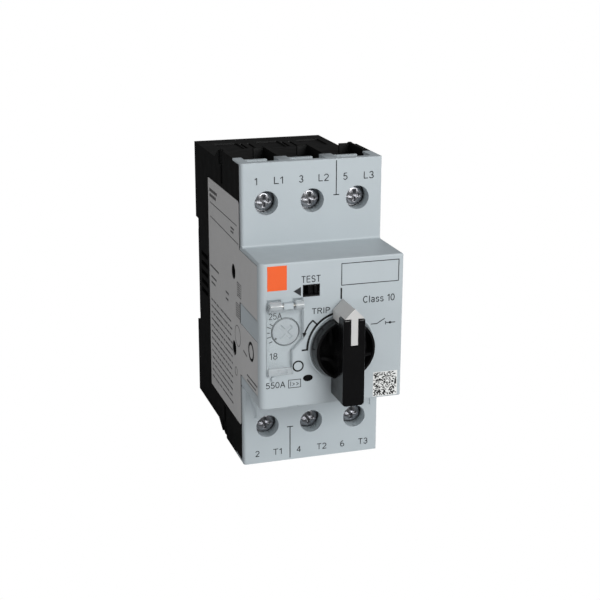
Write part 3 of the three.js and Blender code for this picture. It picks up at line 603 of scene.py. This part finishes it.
def seam_fillers():
    """Small bars, set back from the face, that close the seams between the covers."""
    fillers = [
        box(x - 0.44, x + 0.44, PLATE_FRONT + 0.3, PLATE_FRONT + 1.15, -32.98, -29.62)
        for x in (-18.8, 19.65)
    ]
    fillers.append(box(-13.88, -10.82, BLOCK_FRONT + 0.35, BLOCK_FRONT + 1.15, -22.35, -22.02))
    for side in (-1, 1):
        a, b = sorted((side * (HALF_W - 0.1), side * 21.5))
        for z in (BLOCK_TOP, BLOCK_BOTTOM - 0.3):
            fillers.append(box(a, b, PLATE_FRONT + 0.1, PLATE_BACK, z - 0.02, z + 0.32))
    return join(*fillers)


def flap_bed_rim():
    """The thin raised edge around the flap, with gaps for its hinge."""
    bed = frame_band(grown(FLAP_OUTLINE, 0.4), grown(FLAP_OUTLINE, 0.1), BLOCK_FRONT, -78.0)
    hinge_room = [box(x0 - 0.3, x1 + 0.3, -80, -77, 8.3, 9.4) for x0, x1 in FLAP_BARRELS]
    return combined(bed, "DIFFERENCE", *hinge_room)


def cover():
    """The three CAD covers, with the block's edges rounded, and the small grey pieces on them."""
    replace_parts(grey_piece("cover_block", rounded_block(), smooth=25), "front_cover")
    for node, name in (("line_terminal_cover", "plate_upper"), ("load_terminal_cover", "plate_lower")):
        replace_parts(grey_piece(name, cad(node, False), smooth=25), node)
    grey_piece("fillet_upper", concave_strip(BLOCK_TOP, 1))
    grey_piece("fillet_lower", concave_strip(BLOCK_BOTTOM, -1))
    grey_piece("seam_fillers", seam_fillers())
    grey_piece("flap_bed_rim", flap_bed_rim())
    rim = [(10.05, -79.15), (10.05, -79.35), (10.15, -79.45), (10.4, -79.45), (10.55, -79.3), (10.6, -79.15)]
    grey_piece("knob_collar", ring_lathe(rim, *KNOB), smooth=50)
    grey_piece("hinge_lug", prism(rounded(-15.7, -12.6, 9.1, 10.95, (0.3,) * 4, 4), "Y", -81.0, -79.1), 0.12)
    grey_piece("seal_eye", prism(rounded(-19.2, -17.9, -13.2, -12.0, (0.4,) * 4, 4), "Y", -80.1, -79.1), 0.2)


def openings():
    """Black linings of the test slot and the small oval window; the slot's lining is painted shade on its
    walls.
    """
    black = MATERIALS["handle_black"]
    turn = [2 * math.pi * i / 32 for i in range(32)]
    plug = [(-7.6 + 1.55 * math.cos(a), -13.6 + 1.05 * math.sin(a)) for a in turn]
    piece("window_plug", prism(plug, "Y", -79.26, -78.4), black, "housing", bevel=0.05)
    # The black wall round the inside of the test slot is painted shade in the slot.
    slot = quad(-9.15, -4.15, 12.3, 15.55)
    inner = quad(-9.08, -4.22, 12.37, 15.48)
    piece("slot_shade_liner", frame_band(slot, inner, BLOCK_FRONT, -76.2), BLACK_PRINT_AND_SHADE, "housing")


def ring_lathe(profile, x, z, sides=96):
    """A ring turned about an axis along Y from a closed [radius, y] profile."""
    bm = bmesh.new()
    loops = []
    for i in range(sides):
        a = 2 * math.pi * i / sides
        loops.append([bm.verts.new((x + r * math.cos(a), y, z + r * math.sin(a))) for r, y in profile])
    for i in range(sides):
        for k in range(len(profile)):
            m = (k + 1) % len(profile)
            bm.faces.new((loops[i][k], loops[(i + 1) % sides][k], loops[(i + 1) % sides][m], loops[i][m]))
    bmesh.ops.recalc_face_normals(bm, faces=bm.faces)
    return bm


# ---------------------------------------------------------------- handle
# Outline of the bowed web between the grip and the hub's rim, from the knob's axis.
WEB = [(3.2, -5.6), (4.2, -4.0), (5.6, -2.9), (7.2, -2.4), (8.8, -2.3),
       (8.8, -1.5), (7.0, -1.5), (5.2, -1.9), (3.2, -3.0)]


def grip():
    """The handle's bar, with its front edges rounded."""
    x, z = KNOB
    half = 3.4
    bottom, top = z - 15.2, z + 11.8
    low_radius, high_radius = 1.1, 0.5
    edge = 0.45
    steps = 5
    rings = []
    for i in range(steps + 1):
        a = math.radians(90 * i / steps)
        inset = edge * (1 - math.sin(a))
        y = GRIP_FRONT + edge * (1 - math.cos(a))
        radii = (max(low_radius - inset, 0.3),) * 2 + (max(high_radius - inset, 0.1),) * 2
        outline = rounded(x - half + inset, x + half - inset, bottom + inset, top - inset, radii)
        rings.append([(u, y, v) for u, v in outline])
    outline = rounded(x - half, x + half, bottom, top, (low_radius,) * 2 + (high_radius,) * 2)
    rings.append([(u, -79.6, v) for u, v in outline])
    return loft(rings)


def webs():
    """A straight web and a bowed one on each side of the grip."""
    x, z = KNOB
    made = []
    for side in (-1, 1):
        a, b = sorted((x + side * 4.5, x + side * 5.3))
        made.append(box(a, b, -83.3, -80.8, z + 2.4, z + 6.9))
        made.append(prism([(x + side * u, z + v) for u, v in WEB], "Y", -83.1, -80.8))
    return made


def knob():
    """Hub with a raised rim, and the grip and webs on it, cut out for the slide and the shaft."""
    x, z = KNOB
    hub = lathe(
        [
            (0, -80.9), (6.9, -80.9), (7.5, -81.2), (8.3, -83.2), (8.5, -83.4), (9.0, -83.4),
            (9.25, -83.2), (9.8, -81.3), (9.8, -79.75), (9.55, -79.5), (5, -79.5), (5, -75.4), (0, -75.4),
        ],
        x, z, 96,
    )
    whole = combined(hub, "UNION", grip(), *webs())
    arrow_room = box(x - 4.4, x + 4.4, -86.1, -78.5, z + 9, z + 16)
    stripe_slot = box(x - 1.3, x + 1.3, -91.4, -82, z + 3.6, z + 16)
    shaft_socket = box(x - 2.5, x + 2.5, -78, -75, z - 2.5, z + 2.5)
    whole = combined(whole, "DIFFERENCE", arrow_room, stripe_slot, shaft_socket)
    black = MATERIALS["handle_black"]
    made = piece("knob_moulding", whole, black, "handle", bevel=0.15)
    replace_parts(made, "knob")


def slide():
    """Arrow and stripe that is pulled out of the grip to take a padlock."""
    x, z = KNOB

    def arrow(base):
        return [(x - 3, z + base), (x + 3, z + base), (x + 3, z + 12.1), (x, z + 15.1), (x - 3, z + 12.1)]

    tip = prism(arrow(12.05), "Y", GRIP_FRONT, -85.8)
    foot = prism(arrow(9.3), "Y", -85.9, -79.6)
    stripe = box(x - 1.05, x + 1.05, GRIP_FRONT, -82.3, z + 3.9, z + 12.8)
    padlock_hole = prism(circle(1.6, -86.4, z + 7.2, 32), "X", x - 2, x + 2)
    whole = combined(tip, "UNION", foot, stripe)
    whole = combined(whole, "DIFFERENCE", padlock_hole)
    made = piece("lock_slide", whole, MATERIALS["arrow_white"], "padlock_slide", bevel=0.12)
    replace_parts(made, "padlock_slide")


# ---------------------------------------------------------------- screws and clamps
def screw_body():
    """A combination-head screw on the axis X = 0, Z = 0."""
    body = lathe(
        [
            (0, -56.3), (1.2, -56.3), (2.3, -56.22), (2.75, -56.0), (2.95, -55.65), (3, -55.3), (3, -54.55),
            (2.85, -54.3), (1.7, -54.3), (1.7, -44.5), (1.3, -44), (0, -44),
        ],
        0, 0, 64,
    )
    cross = [(-1.9, -0.5), (1.9, -0.5), (1.9, 0.5), (-1.9, 0.5)]
    return combined(
        body, "DIFFERENCE",
        prism(cross, "Y", -57.5, -55.0),
        prism([(v, u) for u, v in cross], "Y", -57.5, -55.0),
        box(-4, 4, -57.5, -55.7, -0.4, 0.4),
    )


def terminals():
    """The six screws and the clamps behind them."""
    steel = MATERIALS["plated_steel"]
    for row, end in enumerate((1, -1)):
        for i, x in enumerate(POLES):
            number = 2 * i + 1 + row
            body = f"terminal_screw_{number}"
            made = piece(f"screw_{number}", screw_body(), steel, body,
                         bevel=0.08, at=(x, 0, end * SCREW_Z))
            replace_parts(made, body)
            body = f"terminal_clamp_{number}"
            made = piece(f"clamp_{number}", cad(body), steel, body, bevel=0.12)
            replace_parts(made, body)


# ---------------------------------------------------------------- dial, flap, test slider
def dial():
    """Setting dial with a shallow slanted cross, a fine dark ring painted at its edge as shade of the gap
    round it, and a printed pointer dot.
    """
    x, z = DIAL
    body = lathe(
        [
            (0, DIAL_FACE), (3.85, DIAL_FACE), (4.1, -78.0), (4.2, -77.8), (4.2, -75.9), (5.2, -75.9),
            (5.2, -75), (2.2, -75), (2.2, -62.2), (2.0, -62), (0, -62),
        ],
        x, z, 72,
    )
    arms = []
    for turn in (42, 132):
        a = math.radians(turn)
        along = Vector((math.cos(a), math.sin(a))) * 2.5
        across = Vector((-math.sin(a), math.cos(a))) * 0.55
        centre = Vector((x, z))
        corners = [
            centre - along - across,
            centre + along - across,
            centre + along + across,
            centre - along + across,
        ]
        arms.append(prism([tuple(c) for c in corners], "Y", -79, -77.7))
    whole = combined(body, "DIFFERENCE", *arms)
    made = piece("dial_moulding", whole, MATERIALS["dial_grey"], "current_dial",
                 bevel=0.18, segments=3)
    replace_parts(made, "current_dial")
    # The fine dark ring at the dial's edge is painted shade of the gap round the dial; the dot is print.
    rim = band(circle(4.14, x, z), circle(4.03, x, z))
    pointer = [circle(0.33, x - 3.05, z - 1.9, 20)]
    printed("dial_print_and_rim_shade", rim + pointer, [], "front", DIAL_FACE, DARK_PRINT_AND_SHADE, "current_dial")


def flap():
    """Clear flap over the dial with its hinge barrels and its grooved finger grip."""
    plate = piece("flap_plate", prism(FLAP_OUTLINE, "Y", FLAP_FRONT, FLAP_BACK), MATERIALS["clear_plastic"],
                  "dial_cover", bevel=0.18)
    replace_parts(plate, "dial_cover")
    y, z = FLAP_HINGE
    for i, (x0, x1) in enumerate(FLAP_BARRELS):
        profile = [(0, x0), (1.3, x0), (1.5, x0 + 0.2), (1.5, x1 - 0.2), (1.3, x1), (0, x1)]
        barrel = lathe(profile, y, z, 40, "X")
        foot = box(x0, x1, -80.6, FLAP_BACK, 8.5, z)
        bore = prism(circle(0.72, y, z, 24), "X", x0 - 1, x1 + 1)
        whole = combined(combined(barrel, "UNION", foot), "DIFFERENCE", bore)
        piece(f"flap_barrel_{i + 1}", whole, CLOUDY, "dial_cover", bevel=0.1)
    clip = combined(
        box(-20.2, -12.9, -80.5, -79.15, -11.4, -9.3), "DIFFERENCE",
        *[box(-17.5, -14.5, -81.2, -80.1, groove - 0.2, groove + 0.2) for groove in (-10.7, -10)],
    )
    piece("flap_clip", clip, CLOUDY, "dial_cover", bevel=0.15)


def small_parts():
    """CAD nodes that only need rounded edges: piece, node, material slot, body and radius."""
    for name, node, slot, body, bevel in (
        ("test_button", "test_slider", "handle_black", "test_slider", 0.12),
        ("clip_moulding", "rail_clip", "housing_black", "rail_clip", 0.15),
        ("housing_moulding", "rear_housing", "housing_black", "housing", 0.12),
    ):
        made = piece(name, cad(node), MATERIALS[slot], body, bevel=bevel)
        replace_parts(made, node)


def helix(x, y, z0, z1, radius, turns, steps=32):
    """Points of a helix that rises along Z."""
    count = int(turns * steps)
    points = []
    for i in range(count + 1):
        a = 2 * math.pi * turns * i / count
        points.append((x + radius * math.cos(a), y + radius * math.sin(a), z0 + (z1 - z0) * i / count))
    return points


def springs():
    """Wound wires in place of the coarse coils."""
    x, z = KNOB
    steel = MATERIALS["spring_steel"]
    for name, node, path, wire in (
        ("clip_spring_coil", "rail_clip_spring", helix(0, 0.75, -33.9, -22.9, 1, 5), 0.24),
        ("toggle_spring_coil", "toggle_spring", helix(x - 6, -66, z - 7, z + 7, 1.3, 5), 0.3),
    ):
        made = piece(name, tube(path, wire), steel, "housing", smooth=60)
        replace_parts(made, node)
        if node == "rail_clip_spring":
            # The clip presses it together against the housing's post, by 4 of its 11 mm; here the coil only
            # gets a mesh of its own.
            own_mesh(made)


# ---------------------------------------------------------------- print, and painted shade round the test slot
def stroke(points, width):
    """A line of even width through points, as polygons that each hold one stretch."""
    made = []
    for a, b in zip(points, points[1:]):
        way = Vector(b) - Vector(a)
        if way.length < 1e-6:
            continue
        way.normalize()
        side = Vector((-way.y, way.x)) * width / 2
        a = Vector(a) - way * width * 0.15
        b = Vector(b) + way * width * 0.15
        made.append([a - side, b - side, b + side, a + side])
    return made


def band(outer, inner):
    """A closed ring between two outlines with the same count of points, as polygons."""
    count = len(outer)
    return [[outer[i], outer[(i + 1) % count], inner[(i + 1) % count], inner[i]] for i in range(count)]


def path_band(points, width):
    """One smooth strip through points."""
    left, right = [], []
    for i, p in enumerate(points):
        way = Vector(points[min(i + 1, len(points) - 1)]) - Vector(points[max(i - 1, 0)])
        way.normalize()
        side = Vector((-way.y, way.x)) * width / 2
        left.append(Vector(p) + side)
        right.append(Vector(p) - side)
    return [left + list(reversed(right))]


def quad(u0, u1, v0, v1):
    """The corners of a rectangle."""
    return [(u0, v0), (u1, v0), (u1, v1), (u0, v1)]


# Letters as strokes in a cell one unit high: its width, then lines through points and arcs as
# centre u and v, radius u and v, and the angles that they run between.
GLYPHS = {
    "0": (0.56, [("arc", 0.28, 0.5, 0.25, 0.46, 0, 360)]),
    "1": (0.34, [("line", (0.02, 0.74), (0.24, 0.96), (0.24, 0.0))]),
    "2": (0.56, [
        ("arc", 0.28, 0.7, 0.24, 0.26, 165, -35),
        ("line", (0.475, 0.55), (0.04, 0.04), (0.54, 0.04)),
    ]),
    "3": (0.56, [
        ("arc", 0.27, 0.72, 0.21, 0.24, 160, -90),
        ("arc", 0.27, 0.25, 0.25, 0.22, 90, -160),
    ]),
    "4": (0.58, [("line", (0.42, 0.0), (0.42, 0.95), (0.03, 0.26), (0.57, 0.26))]),
    "5": (0.56, [
        ("line", (0.5, 0.95), (0.13, 0.95), (0.07, 0.5)),
        ("arc", 0.27, 0.32, 0.26, 0.28, 135, -150),
    ]),
    "6": (0.56, [
        ("arc", 0.29, 0.29, 0.24, 0.26, 0, 360),
        ("arc", 0.34, 0.45, 0.29, 0.5, 75, 190),
    ]),
    "8": (0.56, [
        ("arc", 0.28, 0.73, 0.2, 0.22, 0, 360),
        ("arc", 0.28, 0.26, 0.24, 0.23, 0, 360),
    ]),
    "A": (0.7, [
        ("line", (0.02, 0.0), (0.35, 0.97), (0.68, 0.0)),
        ("line", (0.15, 0.33), (0.55, 0.33)),
    ]),
    "C": (0.7, [("arc", 0.38, 0.5, 0.33, 0.46, 45, 315)]),
    "E": (0.6, [
        ("line", (0.56, 0.95), (0.07, 0.95), (0.07, 0.04), (0.58, 0.04)),
        ("line", (0.07, 0.52), (0.52, 0.52)),
    ]),
    "I": (0.2, [("line", (0.1, 0.0), (0.1, 1.0))]),
    "L": (0.54, [("line", (0.07, 1.0), (0.07, 0.04), (0.52, 0.04))]),
    "P": (0.62, [
        ("line", (0.07, 0.0), (0.07, 0.95), (0.33, 0.95)),
        ("arc", 0.33, 0.71, 0.25, 0.24, 90, -90),
        ("line", (0.33, 0.47), (0.07, 0.47)),
    ]),
    "R": (0.68, [
        ("line", (0.07, 0.0), (0.07, 0.95), (0.36, 0.95)),
        ("arc", 0.36, 0.72, 0.24, 0.23, 90, -90),
        ("line", (0.36, 0.49), (0.07, 0.49)),
        ("line", (0.36, 0.49), (0.64, 0.0)),
    ]),
    "S": (0.62, [
        ("arc", 0.31, 0.73, 0.23, 0.23, 20, 250),
        ("arc", 0.31, 0.26, 0.25, 0.23, 70, -160),
        ("line", (0.235, 0.515), (0.39, 0.475)),
    ]),
    "T": (0.62, [
        ("line", (0.02, 0.95), (0.6, 0.95)),
        ("line", (0.31, 0.95), (0.31, 0.0)),
    ]),
    "a": (0.56, [
        ("arc", 0.27, 0.53, 0.2, 0.17, 160, 0),
        ("line", (0.47, 0.53), (0.47, 0.0)),
        ("arc", 0.25, 0.2, 0.2, 0.17, 0, 360),
    ]),
    "l": (0.2, [("line", (0.1, 0.0), (0.1, 1.0))]),
    "s": (0.5, [
        ("arc", 0.25, 0.53, 0.18, 0.16, 20, 250),
        ("arc", 0.25, 0.2, 0.2, 0.17, 70, -160),
    ]),
    ">": (0.5, [("line", (0.05, 0.7), (0.4, 0.42), (0.05, 0.12))]),
    " ": (0.3, []),
}
LETTER_GAP = 0.15
PEN = 0.13  # stroke width over letter height


def lettering(text, u0, u1, v0, v1, weight):
    """Polygons of plain stroked letters, fitted to a box in the plane."""
    width = sum(GLYPHS[c][0] + LETTER_GAP for c in text) - LETTER_GAP
    wide = (u1 - u0) / width
    high = v1 - v0
    pen = weight * high
    u = u0
    made = []
    for c in text:
        cell, strokes = GLYPHS[c]
        for kind, *data in strokes:
            if kind == "line":
                path = [(u + a * wide, v0 + b * high) for a, b in data]
                made += stroke(path, pen)
            else:
                cu, cv, ru, rv, start, end = data
                steps = max(int(abs(end - start) / 18), 4)
                turn = [math.radians(start + (end - start) * i / steps) for i in range(steps + 1)]
                path = [(cu + ru * math.cos(a), cv + rv * math.sin(a)) for a in turn]
                made += stroke([(u + a * wide, v0 + b * high) for a, b in path], pen)
        u += (cell + LETTER_GAP) * wide
    return made


def printed(name, polygons, texts, plane, level, material, body="housing", proud=INK):
    """Thin closed print on the front face (X, Z) or the left face (Y, Z) at a level along its normal; it
    also lays the painted shade round the test slot and the dark shade ring at the dial's edge.
    """
    parts = []
    axis = {"front": "Y", "left": "X"}[plane]
    for polygon in polygons:
        parts.append(prism([tuple(p) for p in polygon], axis, level - proud, level))
    for text in texts:
        for polygon in lettering(*text):
            parts.append(prism([tuple(p) for p in polygon], axis, level - proud, level))
    return piece(name, join(*parts), material, body)


def fine_print():
    """Thin lines, symbols and words on the operating block."""
    fine = band(quad(2.7, 21.1, 14.5, 21.4), quad(2.95, 20.85, 14.75, 21.15))
    fine.append([(-12.2, 14.0), (-9.85, 12.4), (-9.85, 15.2)])
    fine += stroke([(12.4, 1.55), (14.3, 1.55)], 0.25)
    fine += stroke([(14.3, 1.55), (16.8, 3.0)], 0.25)
    fine += stroke([(17.1, 1.55), (20.2, 1.55)], 0.25)
    fine += [quad(17.0, 17.25, 1.0, 2.1), quad(18.2, 18.9, 1.2, 1.9)]
    fine += band(quad(-13.8, -9.8, -16.3, -13.6), quad(-13.6, -10.0, -16.1, -13.8))
    texts = [
        ("TEST", -9.7, -3.8, 16.4, 18.4, PEN),
        ("Class 10", 9.7, 19.8, 8.5, 10.6, PEN),
        ("TRIP", -6.4, -0.8, 6.45, 8.2, 0.15),
        ("550A", -20.75, -14.8, -15.8, -13.9, PEN),
        ("I>>", -13.2, -10.4, -15.7, -14.2, PEN),
    ]
    printed("print_block", fine, texts, "front", BLOCK_FRONT, DARK_PRINT_AND_SHADE)


def bold_print_and_slot_shade():
    """Heavy marks on the operating block: the handle's arc, I and O and an arrow as print, and a black frame
    round the test slot as painted shade.
    """
    x, z = KNOB
    bold = path_band(arc(10.95, x, z, 105, 180, 24), 0.66)
    bold.append(quad(-9.6, -7.58, -4.9, -4.4))
    bold += stroke([(-4.6, 2.9), (-6.1, 4.4)], 0.5)
    bold += path_band([(-6.1, 4.5), (-7.3, 3.3), (-8.2, 1.7), (-8.7, 0.6)], 0.5)
    bold.append([(-9.4, 0.9), (-8.05, 0.6), (-8.95, -0.7)])
    bold.append(quad(2.5, 3.0, 10.4, 13.8))
    bold += band(circle(1.78, -10.7, -9.5, 40), circle(1.32, -10.7, -9.5, 40))
    # A black frame round the test slot: painted shade that widens the slot's dark opening.
    bold += band(quad(-9.3, -4.0, 12.0, 15.75), quad(-9.15, -4.15, 12.3, 15.55))
    printed("print_bold_and_slot_shade", bold, [], "front", BLOCK_FRONT, BLACK_PRINT_AND_SHADE)


def bed_print():
    """The dial's scale, in the bed under the flap."""
    ticks = []
    for a, b in (
        ((-19.1, 4.1), (-18.3, 3.6)), ((-20.0, 3.3), (-18.8, 2.7)), ((-20.3, 1.4), (-19.1, 1.3)),
        ((-20.0, -0.2), (-18.8, 0.05)), ((-19.3, -1.8), (-18.35, -1.4)),
    ):
        ticks += stroke([a, b], 0.28)
    texts = [("25A", -19.4, -15.4, 5.4, 7.4, PEN), ("18", -19.15, -16.8, -7.1, -5.1, PEN)]
    printed("print_bed", ticks, texts, "front", BED_PRINT, DARK_PRINT_AND_SHADE)


def plate_print():
    """Terminal numbers and the dividing lines between poles."""
    upper = (
        ("1", -18.2, -17.4), ("L1", -12.3, -9.2), ("3", -4.25, -2.95),
        ("L2", 1.9, 5.2), ("5", 9.95, 11.25), ("L3", 16.6, 19.9),
    )
    lower = (
        ("2", -18.75, -17.45), ("T1", -12.8, -9.8), ("4", -4.9, -3.5),
        ("T2", 2.0, 5.2), ("6", 10.05, 11.35), ("T3", 16.3, 19.5),
    )
    texts = [(t, a, b, 42.2, 44.35, PEN) for t, a, b in upper]
    texts += [(t, a, b, -46.6, -44.6, PEN) for t, a, b in lower]
    lines = [quad(7.55, 7.85, 37.7, 48.4), quad(6.8, 8.65, 37.55, 37.85)]
    lines += [quad(-7.3, -7.0, -48.3, -37.4), quad(-8.2, -6.15, -37.6, -37.3)]
    printed("print_plates", lines, texts, "front", PLATE_FRONT, DARK_PRINT_AND_SHADE)


def patches():
    """A plain coloured patch and a patch of random dots that encodes nothing."""
    printed("patch_plain", [quad(-20.2, -14.2, 14.6, 22.1)], [], "front", BLOCK_FRONT, PATCH_ORANGE)
    printed("code_back", [quad(13.4, 21.35, -22.1, -14.15)], [], "front", BLOCK_FRONT, CODE_BACK, proud=0.02)
    draw = random.Random(11)
    count = 23
    size = 7.5 / count
    dot = size * 0.96
    cells = []
    for i in range(count):
        for j in range(count):
            if draw.random() < 0.5:
                u = 13.6 + i * size
                v = -21.85 + j * size
                cells.append(quad(u, u + dot, v, v + dot))
    printed("code_dots", cells, [], "front", BLOCK_FRONT - 0.02, BLACK_PRINT_AND_SHADE, proud=0.02)


def side_labels():
    """The label films, set in a little so that the print on them stays inside the part's box."""
    for node, face in (("side_label_left", LABEL_FACE), ("side_label_right", -LABEL_FACE)):
        bm = cad(node)
        for v in bm.verts:
            if abs(v.co.x) > HALF_W - 0.01:
                v.co.x = face
        made = piece(node + "_film", bm, MATERIALS["label_grey"], "housing", bevel=0.03)
        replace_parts(made, node)


def side_print():
    """Rules, rings and unreadable rows of a generic rating plate."""
    lines = []
    lines += stroke([(-18.5, 28.7), (-53.3, 28.5)], 0.3)
    lines += stroke([(-18.7, 23.9), (-55.0, 23.0)], 0.3)
    for y0, y1, z0, z1 in (
        (-28.0, -18.0, 32.4, 33.4), (-26.5, -18.0, 30.6, 31.6),
        (-49.8, -45.7, 26.1, 26.7), (-49.0, -45.7, 24.9, 25.5),
        (-28.9, -17.3, 6.5, 7.1), (-25.6, -18.6, 2.9, 3.5), (-24.0, -18.6, 0.9, 1.5),
        (-42.0, -38.3, 3.0, 3.6), (-41.4, -38.3, 0.8, 1.4),
        (-75.5, -64.0, -16.6, -16.1), (-74.0, -64.0, -18.2, -17.7),
    ):
        lines += stroke([(y0, (z0 + z1) / 2), (y1, (z0 + z1) / 2)], z1 - z0)
    draw = random.Random(5)
    for row in range(13):
        z = -5.0 - row * 2.3
        y = -18.0
        while y > -45:
            length = draw.uniform(0.8, 3.6)
            end = max(y - length, -46)
            lines += stroke([(y, z), (end, z)], 0.55)
            y = end - draw.uniform(0.5, 1.1)
    lines += band(circle(3.5, -53.0, -7.2, 48), circle(3.25, -53.0, -7.2, 48))
    lines += band(circle(1.5, -50.5, -19.9, 32), circle(1.25, -50.5, -19.9, 32))
    lines += stroke([(-59.9, -9.8), (-63.8, -10.4)], 0.5)
    for y, z in ((-57.7, 6.1), (-56.1, -1.0)):
        lines += band(quad(y, y + 4.8, z, z + 4.6), quad(y + 0.25, y + 4.55, z + 0.25, z + 4.35))
        for row in range(5):
            lines += stroke([(y + 0.8, z + 0.8 + row * 0.75), (y + 4.0, z + 0.8 + row * 0.75)], 0.3)
    printed("print_side", lines, [], "left", LABEL_FACE, PRINT_SIDE, proud=0.04)
    ring = band(circle(3.1, -68.9, -7.2, 48), circle(2.2, -68.9, -7.2, 48))
    printed("print_ring", ring, [], "left", LABEL_FACE, BLACK_PRINT_AND_SHADE, proud=0.04)


# ---------------------------------------------------------------- assembly
paint_nodes()
camera()
world()
area_light("key", (0.35, -0.85, 0.42), 1.1, (0.7, 0.6), 9.0)
area_light("left_strip", (-0.85, -0.45, 0.14), 0.8, (0.18, 0.18), 0.7)
floor()
cover()
openings()
knob()
slide()
terminals()
dial()
flap()
small_parts()
springs()
fine_print()
bold_print_and_slot_shade()
bed_print()
plate_print()
patches()
side_labels()
side_print()
